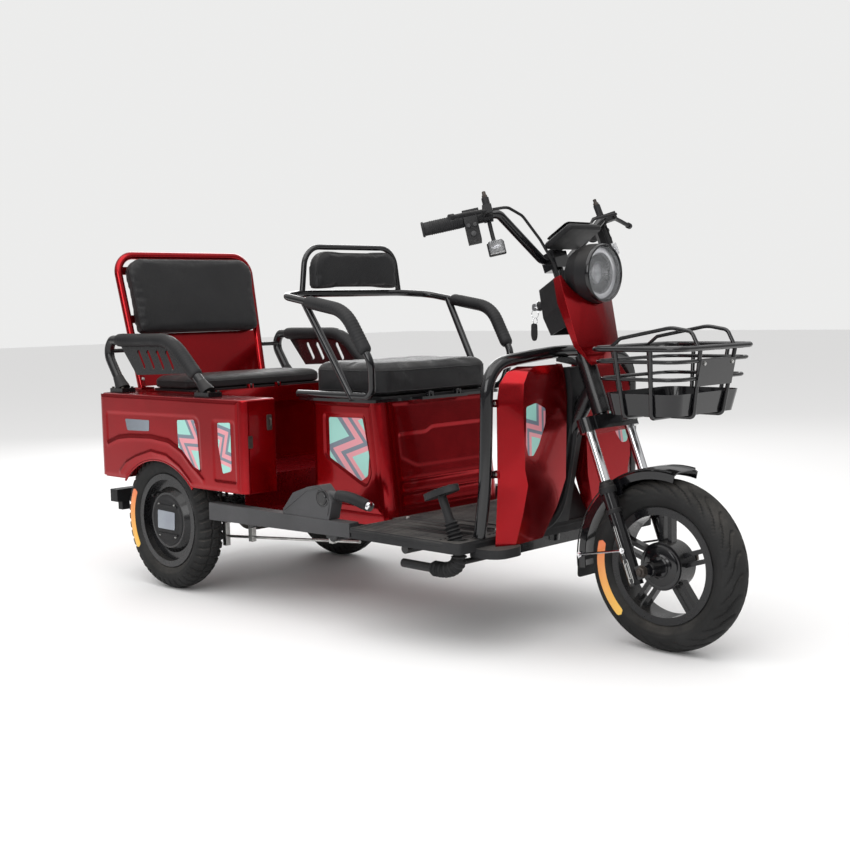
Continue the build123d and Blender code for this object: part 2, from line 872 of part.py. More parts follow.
with BuildPart() as backrest_frame:
    add(
        bent_rod(
            [
                on_lean(-back_foot_half, 5),
                on_lean(-back_top_half, lean_length - back_radius),
                on_lean(back_top_half, lean_length - back_radius),
                on_lean(back_foot_half, 5),
            ],
            62,
            back_radius,
        )
    )
    with BuildSketch(lean.offset(-1.5)):
        with BuildLine():
            Polyline(
                (-back_foot_half, 8), (back_foot_half, 8), (back_foot_half + 8, 178),
                (-back_foot_half - 8, 178),
                close=True,
            )
        make_face()
    extrude(amount=3)
    for side in (-1, 1):
        foot_y = side * back_foot_half
        add(
            block(
                (back_foot_x - 13, foot_y - 24, bench_top + seat_gap),
                (back_foot_x + 32, foot_y + 24, bench_top + 6),
            )
        )
    for up in (230, 390):
        with BuildSketch(lean.offset(-13.5)):
            with Locations((0, up)):
                Rectangle(2 * back_foot_half + 20, 26)
        extrude(amount=5)
save(backrest_frame.part, "backrest_frame")

pad_back = 2.2
pad_low = 168.0
pad_high = lean_length - 2 * back_radius - 0.6
with BuildPart() as backrest_pad:
    with BuildSketch(lean.offset(pad_back)) as outline:
        with BuildLine():
            Polyline(
                (-240.3, pad_low), (240.3, pad_low), (252.2, pad_high), (-252.2, pad_high), close=True
            )
        make_face()
        fillet(outline.vertices().group_by(Axis.Y)[-1], 50)
        fillet(outline.vertices().group_by(Axis.Y)[0], 24)
    extrude(amount=38)
save(backrest_pad.part, "backrest_pad")

# ---- rear armrests ------------------------------------------------------------------------------
rear_arm_y = 340.0
rear_arm_radius = 15.0
rear_arm_route = [
    (-925, -rear_arm_y, pod_top + 12),
    (-1004, -rear_arm_y, 712),
    (-972, -rear_arm_y, 749),
    (-650, -rear_arm_y, 749),
    (-478, -rear_arm_y, pod_top + 12),
]
rear_arm_feet_x = (-925, -478)
with BuildPart() as rear_arm_right:
    add(bent_rod(rear_arm_route, [44, 18, 50], rear_arm_radius))
    for x in rear_arm_feet_x:
        add(block((x - 34, -rear_arm_y - 24, pod_top + seat_gap), (x + 34, -rear_arm_y + 24, pod_top + 13)))
    with BuildSketch(Plane.XZ.offset(rear_arm_y - 2)) as plate:
        with BuildLine():
            Polyline((-935, 745), (-650, 745), (-573, 652), (-840, 642), close=True)
        make_face()
        for index in range(4):
            with Locations((-812 + index * 50, 690)):
                SlotOverall(66, 14, rotation=-58, mode=Mode.SUBTRACT)
    extrude(amount=4)
    leg_at = Vector(*on_lean(-back_foot_half - 5.5, 128))
    upright = Vector(-985, -rear_arm_y, leg_at.Z)
    leg_side = leg_at + (upright - leg_at).normalized() * (back_radius + 0.9)
    add(peg(leg_side, upright, 7))
save(rear_arm_right.part, "rear_arm_right")
save(flipped(rear_arm_right.part), "rear_arm_left")

with BuildPart() as rear_pad_right:
    pad_corner = Vector(*rear_arm_route[3])
    pad_front = pad_corner + (Vector(*rear_arm_route[4]) - pad_corner) * 0.7
    add(
        bent_rod(
            [(-938, -rear_arm_y, 749), pad_corner, pad_front],
            50,
            rear_arm_radius + 5,
            rear_arm_radius + seat_gap,
        )
    )
    add(
        profile(
            [(-960, 749), (-640, 749), (-560, 640), (-960, 640)], -rear_arm_y - 2 - seat_gap,
            -rear_arm_y + 2 + seat_gap
        ),
        mode=Mode.SUBTRACT,
    )
with BuildPart() as arm_pads:
    add(arm_pads_right.part)
    add(flipped(arm_pads_right.part))
    add(rear_pad_right.part)
    add(flipped(rear_pad_right.part))
save(arm_pads.part, "arm_pads")

# ---- rear axle, motor and springs ---------------------------------------------------------------
axle_tube_radius = 25.0
drum_radius = 78.0
drum_inner_y = 262.0
drum_outer_y = 284.0
with BuildPart() as rear_axle:
    add(across_cylinder(rear_axle_x, tyre_radius, axle_tube_radius, -drum_inner_y, drum_inner_y))
    add(across_cylinder(rear_axle_x, tyre_radius, 68, -62, 48))
    add(across_cylinder(rear_axle_x + 112, tyre_radius + 12, 62, -118, 40))
    for side in (-1, 1):
        low_y = min(side * drum_inner_y, side * drum_outer_y)
        add(
            across_cylinder(
                rear_axle_x,
                tyre_radius,
                drum_radius,
                low_y,
                low_y + drum_outer_y - drum_inner_y,
            )
        )
        tip_y = side * (rear_track / 2 + 8)
        add(across_cylinder(rear_axle_x, tyre_radius, rear_spindle_radius, min(0, tip_y), max(0, tip_y)))
save(rear_axle.part, "rear_axle")

leaf_half_length = 185.0
leaf_thick = 9.0
leaf_width = 44.0
with BuildPart() as leaf_right:
    spring_low = tyre_radius + axle_tube_radius + seat_gap
    for index, length in enumerate((leaf_half_length * 0.45, leaf_half_length * 0.72, leaf_half_length)):
        base = spring_low + index * leaf_thick
        rise = 42 * (length / leaf_half_length) ** 2
        with BuildSketch(Plane.XZ.offset(frame_rail_y - leaf_width / 2)):
            with BuildLine():
                ThreePointArc(
                    (rear_axle_x - length, base + rise), (rear_axle_x, base),
                    (rear_axle_x + length, base + rise)
                )
                Line((rear_axle_x + length, base + rise), (rear_axle_x + length, base + rise + leaf_thick))
                ThreePointArc(
                    (rear_axle_x + length, base + rise + leaf_thick),
                    (rear_axle_x, base + leaf_thick),
                    (rear_axle_x - length, base + rise + leaf_thick),
                )
                Line((rear_axle_x - length, base + rise + leaf_thick), (rear_axle_x - length, base + rise))
            make_face()
        extrude(amount=leaf_width)
    rail_bottom = frame_high_top - frame_high_height - seat_gap
    for end in (-1, 1):
        x = rear_axle_x + end * (leaf_half_length - 14)
        add(
            block(
                (x - 13, -frame_rail_y - leaf_width / 2, spring_low + 52),
                (x + 13, -frame_rail_y + leaf_width / 2, rail_bottom),
            )
        )
with BuildPart() as leaf_springs:
    add(leaf_right.part)
    add(flipped(leaf_right.part))
save(leaf_springs.part, "leaf_springs")

# ---- side skirts, parking brake, pedal and rods -------------------------------------------------
skirt_low = 238.0
skirt_high = 288.0
skirt_rear_x = -432.0
with BuildPart() as skirt:
    add(
        profile(
            [
                (skirt_rear_x, skirt_low),
                (board_rear_x - seat_gap, skirt_low + 12),
                (board_rear_x - seat_gap, skirt_high),
                (skirt_rear_x, skirt_high),
            ],
            -board_half_width,
            -skirt_inner_y,
        )
    )
    add(
        profile(
            [
                (skirt_rear_x - 1, skirt_low + sheet + 2),
                (board_rear_x - sheet, skirt_low + 12 + sheet),
                (board_rear_x - sheet, skirt_high - sheet),
                (skirt_rear_x - 1, skirt_high - sheet),
            ],
            -board_half_width + sheet,
            -skirt_inner_y + 1,
        ),
        mode=Mode.SUBTRACT,
    )
    for x in outrigger_low_x[:2]:
        add(
            block((x - 20, -skirt_inner_y - sheet, skirt_low - 6), (x + 20, -skirt_inner_y, skirt_high - 1))
        )
with BuildPart() as side_skirts:
    add(skirt.part)
    add(flipped(skirt.part))
save(side_skirts.part, "side_skirts")

brake_low_y = -384.0
brake_high_y = -346.0
with BuildPart() as parking_brake:
    with BuildSketch(Plane.XZ.offset(-brake_high_y)) as housing:
        with BuildLine():
            Polyline(
                (-101, skirt_high + 0.01), (85, skirt_high + 0.01), (99, 336), (54, 378), (2, 368),
                (-57, 348), (-101, 300),
                close=True,
            )
        make_face()
        fillet([v for v in housing.vertices() if v.Y > 320], 10)
    extrude(amount=brake_high_y - brake_low_y)
    add(bent_rod([(50, -365, 352), (150, -365, 351), (224, -365, 333)], 80, 11))
save(parking_brake.part, "parking_brake")

pedal_y = sum(pedal_slot_y) / 2
pedal_tilt = 20.0
with BuildPart() as brake_pedal:
    add(
        bent_rod(
            [
                (458, pedal_y, 382),
                (503, pedal_y, 282),
                (517, pedal_y, 226),
                (480, pedal_y, 200),
                (323, pedal_y, 201),
            ],
            [60, 22, 40],
            11,
        )
    )
    add(peg((506, pedal_y, 222), (506, -frame_rail_y - frame_rail_width / 2 - seat_gap, 222), 7))
    pedal_along = (cos(radians(pedal_tilt)), 0, sin(radians(pedal_tilt)))
    with BuildSketch(
        Plane(origin=(461, pedal_y, 381), x_dir=pedal_along, z_dir=(-pedal_along[2], 0, pedal_along[0]))
    ):
        Ellipse(54, 30)
    extrude(amount=14)
save(brake_pedal.part, "brake_pedal")

rod_y = -250.0
rod_route = [(56, rod_y, 208), (-412, rod_y, 170), (-536, rod_y, 160), (-640, rod_y - 7.5, 190)]
hangers = [(-53.0, 193.0, 236.0), (-410.0, 158.0, 232.0), (-536.0, 132.0, 202.0)]   # X and Z span
with BuildPart() as brake_rods:
    add(bent_rod(rod_route, [60, 60], 4))
    for x, low_z, high_z in hangers:
        add(block((x - 8, rod_y - 8, low_z), (x + 8, rod_y + 8, high_z)))
    for x, _, _ in hangers[:2]:
        add(block((x - 8, rod_y - 8, 224), (x + 8, -frame_rail_y - frame_rail_width / 2 - seat_gap, 232)))
save(brake_rods.part, "brake_rods")

# ---- seat boards and cushions -------------------------------------------------------------------
driver_cushion_high = 92.0
bench_cushion_high = 42.0


def cushion(x_low, x_high, half_width, z, height, corner, edge):
    """A plain closed solid of a cushion's outer shape, with rounded corners and edges."""
    with BuildPart() as piece:
        with BuildSketch(Plane.XY.offset(z)):
            with Locations(((x_low + x_high) / 2, 0)):
                RectangleRounded(x_high - x_low, 2 * half_width, corner)
        extrude(amount=height)
        fillet(piece.faces().sort_by(Axis.Z)[-1].edges(), edge)
    return piece.part


cushion_front_gap = 11.0
driver_rear_x = box_rear_x + 4
driver_front_x = lid_hinge_x - cushion_front_gap
save(lid_board(driver_rear_x + 6, driver_front_x - 4, 214, plate_top, lid_hinge_x), "driver_seat_board")
save(
    cushion(
        driver_rear_x,
        driver_front_x,
        224,
        plate_top + board_thick + 2 * seat_gap,
        driver_cushion_high - board_thick,
        45,
        24,
    ),
    "driver_cushion",
)
bench_front_edge = bench_hinge_x - cushion_front_gap
save(lid_board(bench_rear_x + 6, bench_front_edge - 4, 258, bench_top, bench_hinge_x), "bench_seat_board")
save(
    cushion(
        bench_rear_x,
        bench_front_edge,
        268,
        bench_top + board_thick + 2 * seat_gap,
        bench_cushion_high - board_thick,
        35,
        16,
    ),
    "bench_cushion",
)

# ---- fork ---------------------------------------------------------------------------------------
axle_forward, axle_height = to_fork(front_axle_x, tyre_radius)
clamp_half = (22.0, 27.0, 22.0)
yoke_boss = 24.0
yoke_front = 36.0
carrier_low = 846.0            # the plate that holds the cowl and the shroud
carrier_half = [(-44, -44), (38.2, -71.5), (38.2, -87.4), (57.6, -87.4), (80.9, -19.4)]


def fork_block(low, high):
    """A block whose corners are given ahead of, beside and along the steering axis."""
    with BuildPart() as piece:
        with BuildSketch(steer.offset(low[2])):
            with Locations(((low[0] + high[0]) / 2, (low[1] + high[1]) / 2)):
                Rectangle(high[0] - low[0], high[1] - low[1])
        extrude(amount=high[2] - low[2])
    return piece.part


def fork_rod(start, end, radius, bore=0.0):
    """A straight round rod or tube between two points of the fork's own frame."""
    return bent_rod([on_fork(*start), on_fork(*end)], 0, radius, bore)


with BuildPart() as fork_yoke:
    with BuildSketch(steer.offset(yoke_low)):
        with BuildLine():
            Polyline(
                (-28, -40), (fork_offset - 18, -fork_half_spacing), (yoke_front, -fork_half_spacing),
                (yoke_front, fork_half_spacing), (fork_offset - 18, fork_half_spacing), (-28, 40),
                close=True,
            )
        make_face()
        with Locations((fork_offset, -fork_half_spacing), (fork_offset, fork_half_spacing)):
            Circle(yoke_boss)
    extrude(amount=yoke_high - yoke_low)
    with BuildSketch(steer.offset(yoke_low - 1)):
        with Locations((fork_offset, -fork_half_spacing), (fork_offset, fork_half_spacing)):
            Circle(stanchion_radius + seat_gap)
    extrude(amount=yoke_high - yoke_low - 5, mode=Mode.SUBTRACT)
    add(fork_rod((0, 0, yoke_low), (0, 0, clamp_height - bar_radius), stem_radius))
    add(
        fork_block(
            (-clamp_half[0], -clamp_half[1], clamp_height - clamp_half[2]),
            (clamp_half[0], clamp_half[1], clamp_height + clamp_half[2]),
        )
    )
    with BuildSketch(steer.offset(carrier_low)):
        with BuildLine():
            Polyline(*carrier_half, *[(f, -y) for f, y in reversed(carrier_half)], close=True)
        make_face()
    extrude(amount=4)
    add(
        fork_rod((0, -40, clamp_height + 3), (0, 40, clamp_height + 3), bar_radius + seat_gap),
        mode=Mode.SUBTRACT,
    )
save(fork_yoke.part, "fork_yoke")

with BuildPart() as stanchions:
    for side in (-1, 1):
        y = side * fork_half_spacing
        add(
            fork_rod(
                (fork_offset, y, leg_top - 60),
                (fork_offset, y, yoke_high - 6 - seat_gap),
                stanchion_radius,
            )
        )
save(stanchions.part, "stanchions")

leg_low = 176.0
spindle_half = 104.0
with BuildPart() as fork_legs:
    for side in (-1, 1):
        y = side * fork_half_spacing
        add(fork_rod((fork_offset, y, leg_low), (fork_offset, y, leg_top), leg_radius))
        add(
            fork_rod(
                (fork_offset, y, leg_top - 60 - seat_gap),
                (fork_offset, y, leg_top + 1),
                stanchion_radius + seat_gap,
            ),
            mode=Mode.SUBTRACT,
        )
        add(fork_block((fork_offset, y - 9, axle_height - 16), (axle_forward, y + 9, axle_height + 16)))
        add(fork_rod((axle_forward, y - 9, axle_height), (axle_forward, y + 9, axle_height), 18))
        spacer = sorted((side * (front_hub_half + 1), side * (fork_half_spacing - 9)))
        add(fork_rod((axle_forward, spacer[0], axle_height), (axle_forward, spacer[1], axle_height), 12))
    add(
        fork_rod(
            (axle_forward, -spindle_half, axle_height), (axle_forward, spindle_half, axle_height),
            front_spindle_radius
        )
    )
save(fork_legs.part, "fork_legs")

# ---- front mudguard -----------------------------------------------------------------------------
guard_arc_radius = 236.0
mud_half = 50.0
mud_wall = 3.0
mud_rear_angle = 187.0
mud_arc = 110.0


def radial_plane(angle):
    """Sketch plane through the front axle whose local y points out at an angle above +X."""
    return Plane(
        origin=(front_axle_x, 0, tyre_radius),
        x_dir=(0, 1, 0),
        z_dir=(sin(radians(angle)), 0, -cos(radians(angle))),
    )


with BuildPart() as front_mudguard:
    with BuildSketch(radial_plane(mud_rear_angle)):
        with BuildLine():
            Polyline(
                (-mud_half, guard_arc_radius - 26),
                (-mud_half, guard_arc_radius - 8),
                (-mud_half + 16, guard_arc_radius),
                (mud_half - 16, guard_arc_radius),
                (mud_half, guard_arc_radius - 8),
                (mud_half, guard_arc_radius - 26),
                (mud_half - mud_wall, guard_arc_radius - 26),
                (mud_half - mud_wall, guard_arc_radius - 10),
                (mud_half - 17, guard_arc_radius - mud_wall),
                (-mud_half + 17, guard_arc_radius - mud_wall),
                (-mud_half + mud_wall, guard_arc_radius - 10),
                (-mud_half + mud_wall, guard_arc_radius - 26),
                close=True,
            )
        make_face()
    revolve(
        axis=Axis((front_axle_x, 0, tyre_radius), (0, 1, 0)),
        revolution_arc=mud_arc,
    )
    for side in (-1, 1):
        plate_low = min(side * (mud_half - 1), side * (mud_half + 4))
        add(fork_block((-8, plate_low, leg_top - 26), (26, plate_low + 5, leg_top + 14)))
        near_leg = side * (fork_half_spacing - leg_radius - seat_gap)
        add(
            fork_rod((fork_offset, side * mud_half, leg_top - 14), (fork_offset, near_leg, leg_top - 14), 6)
        )
        stay_end = on_fork(14, side * (fork_half_spacing + leg_radius + 5), 262)
        add(
            peg(
                (front_axle_x - guard_arc_radius + 12, side * (mud_half - 1), tyre_radius + 6),
                stay_end,
                2.5,
            )
        )
        add(peg(stay_end, (stay_end[0], side * (fork_half_spacing + leg_radius + 0.2), stay_end[2]), 4))
save(front_mudguard.part, "front_mudguard")

# ---- handlebar, grips, controls -----------------------------------------------------------------
bar_end = (-94, -330, 1121)
bar_bend = (33, -207, 1110)
bar_root = (0, -50, clamp_height + 3)
half_bar = [bar_end, bar_bend, bar_root]
bar_route = [on_fork(*p) for p in half_bar + [(f, -y, h) for f, y, h in reversed(half_bar)]]
with BuildPart() as handlebar:
    add(bent_rod(bar_route, [22, 40, 40, 22], bar_radius, bar_radius - 2))
save(handlebar.part, "handlebar")

grip_vector = Vector(*on_fork(*bar_end)) - Vector(*on_fork(*bar_bend))
grip_span = grip_vector.length
grip_dir = grip_vector.normalized()
fork_ahead = Vector(steer_cos, 0, steer_sin)
grip_ahead = (fork_ahead - grip_dir * fork_ahead.dot(grip_dir)).normalized()
grip_plane = Plane(origin=on_fork(*bar_bend), x_dir=grip_ahead, z_dir=grip_dir)


def on_grip(ahead, above, out):
    """A point ahead of, above and out along the right grip's line."""
    place = grip_plane.from_local_coords(Vector(ahead, above, out))
    return (place.X, place.Y, place.Z)


def grip_block(low, high):
    with BuildPart() as piece:
        with BuildSketch(grip_plane.offset(low[2])):
            with Locations(((low[0] + high[0]) / 2, (low[1] + high[1]) / 2)):
                Rectangle(high[0] - low[0], high[1] - low[1])
        extrude(amount=high[2] - low[2])
    return piece.part


grip_start = 86.0
with BuildPart() as grip_right:
    add(bent_rod([on_grip(0, 0, grip_start), on_grip(0, 0, grip_span + 4)], 0, grip_radius))
    add(
        bent_rod(
            [on_grip(0, 0, grip_start - 1), on_grip(0, 0, grip_span + seat_gap)],
            0,
            bar_radius + seat_gap,
        ),
        mode=Mode.SUBTRACT,
    )
with BuildPart() as grips:
    add(grip_right.part)
    add(flipped(grip_right.part))
save(grips.part, "grips")

perch_out = (14.0, 36.0)
switch_out = (44.0, 84.0)
mirror_thread = 4.0
mirror_boss_high = 43.0
mirror_place = (3.0, 22.0)
with BuildPart() as control_right:
    add(bent_rod([on_grip(0, 0, perch_out[0]), on_grip(0, 0, perch_out[1])], 0, 17))
    add(grip_block((10, -9, perch_out[0]), (42, 12, perch_out[1])))
    add(
        bent_rod(
            [
                on_grip(mirror_place[0], 8, mirror_place[1]),
                on_grip(mirror_place[0], mirror_boss_high, mirror_place[1]),
            ],
            0,
            9,
        )
    )
    add(
        bent_rod(
            [
                on_grip(mirror_place[0], mirror_boss_high - 20, mirror_place[1]),
                on_grip(mirror_place[0], mirror_boss_high + 1, mirror_place[1]),
            ],
            0,
            mirror_thread,
        ),
        mode=Mode.SUBTRACT,
    )
    add(bent_rod([on_grip(34, -2, 24), on_grip(60, -9, 70), on_grip(86, -19, 113)], 60, 5.5))
    add(bent_rod([on_grip(84, -18, 110), on_grip(90, -20, 120)], 0, 8))
    add(grip_block((-14, -60, switch_out[0] + 8), (17, 12, switch_out[1])))
    add(grip_block((-14, 8, switch_out[0]), (14, 20, switch_out[1])))
    add(bent_rod([on_grip(0, 0, perch_out[1] - 1), on_grip(0, 0, switch_out[1])], 0, 15))
    add(
        bent_rod([on_grip(0, 0, 0), on_grip(0, 0, switch_out[1] + 1)], 0, bar_radius + seat_gap),
        mode=Mode.SUBTRACT,
    )
with BuildPart() as controls:
    add(control_right.part)
    add(flipped(control_right.part))
save(controls.part, "controls")

lamp_box = ((-14, -101, 0), (14, -68, 44))
with BuildPart() as signal_right:
    add(bent_rod([on_grip(0, -17.5, 25), on_grip(0, -72, 25)], 0, 5))
    add(grip_block(*lamp_box))
with BuildPart() as turn_signals:
    add(signal_right.part)
    add(flipped(signal_right.part))
save(turn_signals.part, "turn_signals")

cable_radius = 3.5
with BuildPart() as cable_right:
    add(
        bent_rod(
            [
                on_grip(34, -1, perch_out[0] - 0.8),
                on_grip(36, -4, -22),
                on_fork(50, -140, 1098),
                on_fork(38, -84, 1042),
                on_fork(28, -46, 985),
                on_fork(22, -34, 850.6),
            ],
            [20, 30, 30, 30],
            cable_radius,
        )
    )
with BuildPart() as brake_cables:
    add(cable_right.part)
    add(flipped(cable_right.part))
save(brake_cables.part, "brake_cables")

# ---- dash, headlight, cowl ----------------------------------------------------------------------
dash_centre = (588.0, 0.0, 1003.0)
dash_tilt = 31.0
dash_plane = Plane(
    origin=dash_centre,
    x_dir=(cos(radians(dash_tilt)), 0, sin(radians(dash_tilt))),
    z_dir=(-sin(radians(dash_tilt)), 0, cos(radians(dash_tilt))),
)
with BuildPart() as dash:
    with BuildSketch(dash_plane.offset(-16)):
        RectangleRounded(98, 130, 12)
    extrude(amount=16)
    chamfer(dash.faces().sort_by(Axis.Z)[0].edges(), 5)
    clamp_face = clamp_height + clamp_half[2] + seat_gap
    add(fork_block((-6, -12, clamp_face), (40, 12, clamp_face + 10)))
save(dash.part, "dash")

lamp_centre = (682.0, 0.0, 904.0)
lamp_radius = 72.0
lens_radius = 67.0
with BuildPart() as headlight:
    with BuildSketch(Plane(origin=lamp_centre, x_dir=(1, 0, 0), z_dir=(0, -1, 0))):
        with BuildLine():
            Polyline(
                (0, lens_radius + 0.3), (0, lamp_radius), (-34, lamp_radius), (-70, 58), (-92, 34),
                (-92, 0),
                (-89, 0), (-89, 32), (-68, 55), (-34, lamp_radius - 3), (-6, lamp_radius - 3),
                (-6, lens_radius + 0.3),
                close=True,
            )
        make_face()
    revolve(axis=Axis(lamp_centre, (1, 0, 0)))
    add(block((564, -16, 893), (lamp_centre[0] - 90, 16, 915)))
    add(fork_rod((0, 0, 900), (0, 0, 990), stem_radius + seat_gap), mode=Mode.SUBTRACT)
save(headlight.part, "headlight")
with BuildPart() as headlight_lens:
    with BuildSketch(Plane(origin=lamp_centre, x_dir=(0, 1, 0), z_dir=(1, 0, 0)).offset(-5)):
        Circle(lens_radius)
    extrude(amount=12)
    fillet(headlight_lens.faces().sort_by(Axis.X)[-1].edges(), 6)
save(headlight_lens.part, "headlight_lens")

cowl_levels = [
    (713, 36, 26, 52, 42),
    (762, 82, 60, 75, 53),
    (876, 94, 68, 88, 64),
    (940, 80, 52, 78, 58),
]


def cowl_solid(inset, rear):
    """The cowl's outline by level: half width, half width of its flat front, front and corner reach."""
    with BuildPart() as piece:
        for height, half, flat, front, corner in cowl_levels:
            level = height + (inset if height == cowl_levels[0][0] else 0)
            with BuildSketch(steer.offset(level)):
                with BuildLine():
                    Polyline(
                        (rear, -half + inset), (corner - inset, -half + inset),
                        (front - inset, -flat * 0.3),
                        (front - inset, flat * 0.3), (corner - inset, half - inset), (rear, half - inset),
                        close=True,
                    )
                make_face()
        loft(ruled=True)
    return piece.part


with BuildPart() as cowl:
    add(cowl_solid(0, 38))
    add(cowl_solid(sheet, 30), mode=Mode.SUBTRACT)
    add(
        peg(
            (lamp_centre[0] - 110, 0, lamp_centre[2]),
            (lamp_centre[0] + 40, 0, lamp_centre[2]),
            lamp_radius + 2,
        ),
        mode=Mode.SUBTRACT,
    )
save(cowl.part, "cowl")

shroud_levels = [(822, 68, 46, -46), (870, 88, 50, -50), (940, 78, 46, -40)]
with BuildPart() as column_shroud:
    for wall, mode in ((0, Mode.ADD), (sheet, Mode.SUBTRACT)):
        with BuildPart() as shape:
            for height, front_half, rear_half, rear in shroud_levels:
                with BuildSketch(steer.offset(height)):
                    with BuildLine():
                        Polyline(
                            (38 - seat_gap + wall, -front_half + wall), (rear + wall, -rear_half + wall),
                            (rear + wall, rear_half - wall), (38 - seat_gap + wall, front_half - wall),
                            close=True,
                        )
                    make_face()
            loft(ruled=True)
        if mode == Mode.ADD:
            shroud_outer = shape.part
        else:
            shroud_inner = shape.part
barrel = fork_rod((-43, -32, 903), (-62, -34, 906), 11)
save(shroud_outer - shroud_inner + barrel, "column_shroud")

# ---- basket -------------------------------------------------------------------------------------
basket_rear_x = 762.0
basket_front_x = 1004.0
basket_half = 163.0
basket_rim_z = 727.0
basket_floor_rear_x = 785.0
basket_floor_front_x = 972.0
basket_floor_half = 134.0
basket_floor_z = 574.0
tray_high = 50.0
wire_radius = 4.5
upright_radius = 5.0
rim_radius = 6.5
side_wire_shares = (0.3, 0.7)
end_wire_share = 0.45
arch_y = (-80.0, 70.0)
plate_z = (640.0, 701.0)


def basket_level(z):
    """Rear X, front X and half width of the basket's walls at height z."""
    share = (z - basket_floor_z) / (basket_rim_z - basket_floor_z)
    return (
        basket_floor_rear_x + share * (basket_rear_x - basket_floor_rear_x),
        basket_floor_front_x + share * (basket_front_x - basket_floor_front_x),
        basket_floor_half + share * (basket_half - basket_floor_half),
    )


def basket_ring(z, radius, corner=34.0):
    """A closed wire round the basket at height z."""
    rear, front, half = basket_level(z)
    with BuildPart() as ring:
        with BuildSketch(Plane.XY.offset(z)) as outline:
            with Locations(((rear + front) / 2, 0)):
                RectangleRounded(front - rear, 2 * half, corner)
        route = outline.sketch.wire()
        with BuildSketch(Plane(origin=route @ 0, z_dir=route % 0)) as section:
            Circle(radius)
        sweep(sections=section.sketch, path=route, clean=False)
    return ring.part.solids().sort_by(SortBy.VOLUME)[0]


def basket_tray(inset, low_z, high_z):
    """The tray's tapered block between two heights, smaller by the inset."""
    with BuildPart() as tray:
        for z in (low_z, high_z):
            rear, front, half = basket_level(z)
            with BuildSketch(Plane.XY.offset(z)):
                with Locations(((rear + front) / 2, 0)):
                    RectangleRounded(front - rear - 2 * inset, 2 * half - 2 * inset, 34 - inset)
        loft(ruled=True)
    return tray.part


with BuildPart() as basket:
    add(basket_tray(0, basket_floor_z, basket_floor_z + tray_high))
    add(basket_tray(sheet, basket_floor_z + sheet, basket_floor_z + tray_high + 1), mode=Mode.SUBTRACT)
    for z, radius in ((basket_rim_z, rim_radius), (698, wire_radius), (658, wire_radius)):
        add(basket_ring(z, radius))
    low_rear, low_front, low_half = basket_level(basket_floor_z)
    top_rear, top_front, top_half = basket_level(basket_rim_z)
    under_z = basket_floor_z - upright_radius + 0.5
    proud = upright_radius - 0.5
    for share in side_wire_shares:
        top_x = top_rear + share * (top_front - top_rear)
        low_x = low_rear + share * (low_front - low_rear)
        half_wire = [(top_x, -top_half, basket_rim_z), (low_x, -low_half - proud, under_z)]
        add(bent_rod(half_wire + [(x, -y, z) for x, y, z in reversed(half_wire)], 12, upright_radius))
    for side in (-1, 1):
        end_wire = [
            (top_rear, side * end_wire_share * top_half, basket_rim_z),
            (low_rear - proud, side * end_wire_share * low_half, under_z),
            (low_front + proud, side * end_wire_share * low_half, under_z),
            (top_front, side * end_wire_share * top_half, basket_rim_z),
        ]
        add(bent_rod(end_wire, 12, upright_radius))
    for y in arch_y:
        arch = [
            (top_rear, y, basket_rim_z),
            (790, y, 748),
            (932, y, 773),
            (985, y, 764),
            (top_front, y, basket_rim_z),
        ]
        add(bent_rod(arch, [15, 80, 20], wire_radius))
    plate_low = basket_level(plate_z[0])[1] + wire_radius - 0.7
    plate_high = basket_level(plate_z[1])[1] + wire_radius - 0.7
    add(
        profile(
            [
                (plate_low, plate_z[0]),
                (plate_low + 4, plate_z[0]),
                (plate_high + 4, plate_z[1]),
                (plate_high, plate_z[1]),
            ],
            -73,
            73,
        )
    )
    bracket_start = on_fork(yoke_front + seat_gap, 0, (yoke_low + yoke_high) / 2)
    add(
        profile(
            [
                (bracket_start[0] + 3, bracket_start[2] - 8),
                (basket_floor_rear_x + 60, basket_floor_z - 5),
                (basket_floor_rear_x + 60, basket_floor_z + 0.5),
                (basket_floor_rear_x - 8, basket_floor_z + 0.5),
                (bracket_start[0], bracket_start[2]),
            ],
            -32,
            32,
        )
    )
save(basket.part, "basket")
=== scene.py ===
# %% [markdown]
# # A passenger electric tricycle, finished over a fixed frame
# The frame comes from the CAD pack with every part in its true place. This lesson adds what a
# workshop would call the finish: paint, rubber, vinyl, tread, pressed panels, fasteners and printed
# film. Each step says what the real thing is, how it could be made, and why it is made this way.

# %% Load the frame
import math

import bmesh
import bpy
import numpy as np
from mathutils import Matrix, Vector
from mathutils.bvhtree import BVHTree


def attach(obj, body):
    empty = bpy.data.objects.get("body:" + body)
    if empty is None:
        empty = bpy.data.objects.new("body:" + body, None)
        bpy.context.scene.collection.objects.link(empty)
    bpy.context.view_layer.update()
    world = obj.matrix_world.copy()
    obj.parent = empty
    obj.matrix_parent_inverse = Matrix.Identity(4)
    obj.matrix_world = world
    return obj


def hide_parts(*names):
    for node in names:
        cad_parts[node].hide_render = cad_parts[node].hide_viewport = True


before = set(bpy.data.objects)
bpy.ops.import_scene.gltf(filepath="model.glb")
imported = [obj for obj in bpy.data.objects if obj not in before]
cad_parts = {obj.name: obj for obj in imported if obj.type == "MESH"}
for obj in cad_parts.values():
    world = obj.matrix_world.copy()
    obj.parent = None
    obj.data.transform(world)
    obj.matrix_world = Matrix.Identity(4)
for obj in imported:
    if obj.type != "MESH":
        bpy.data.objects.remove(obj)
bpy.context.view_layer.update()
MM = 0.001

# %% [markdown]
# ## The steering frame and the grip frame
# Everything on the fork leans with the steering axis, so it is easiest to place such pieces by
# distances ahead of, beside and along that axis. A second small frame follows the right grip.
# Both are three unit arrows and an origin, so turning local numbers into places is one matrix
# product on a whole array.

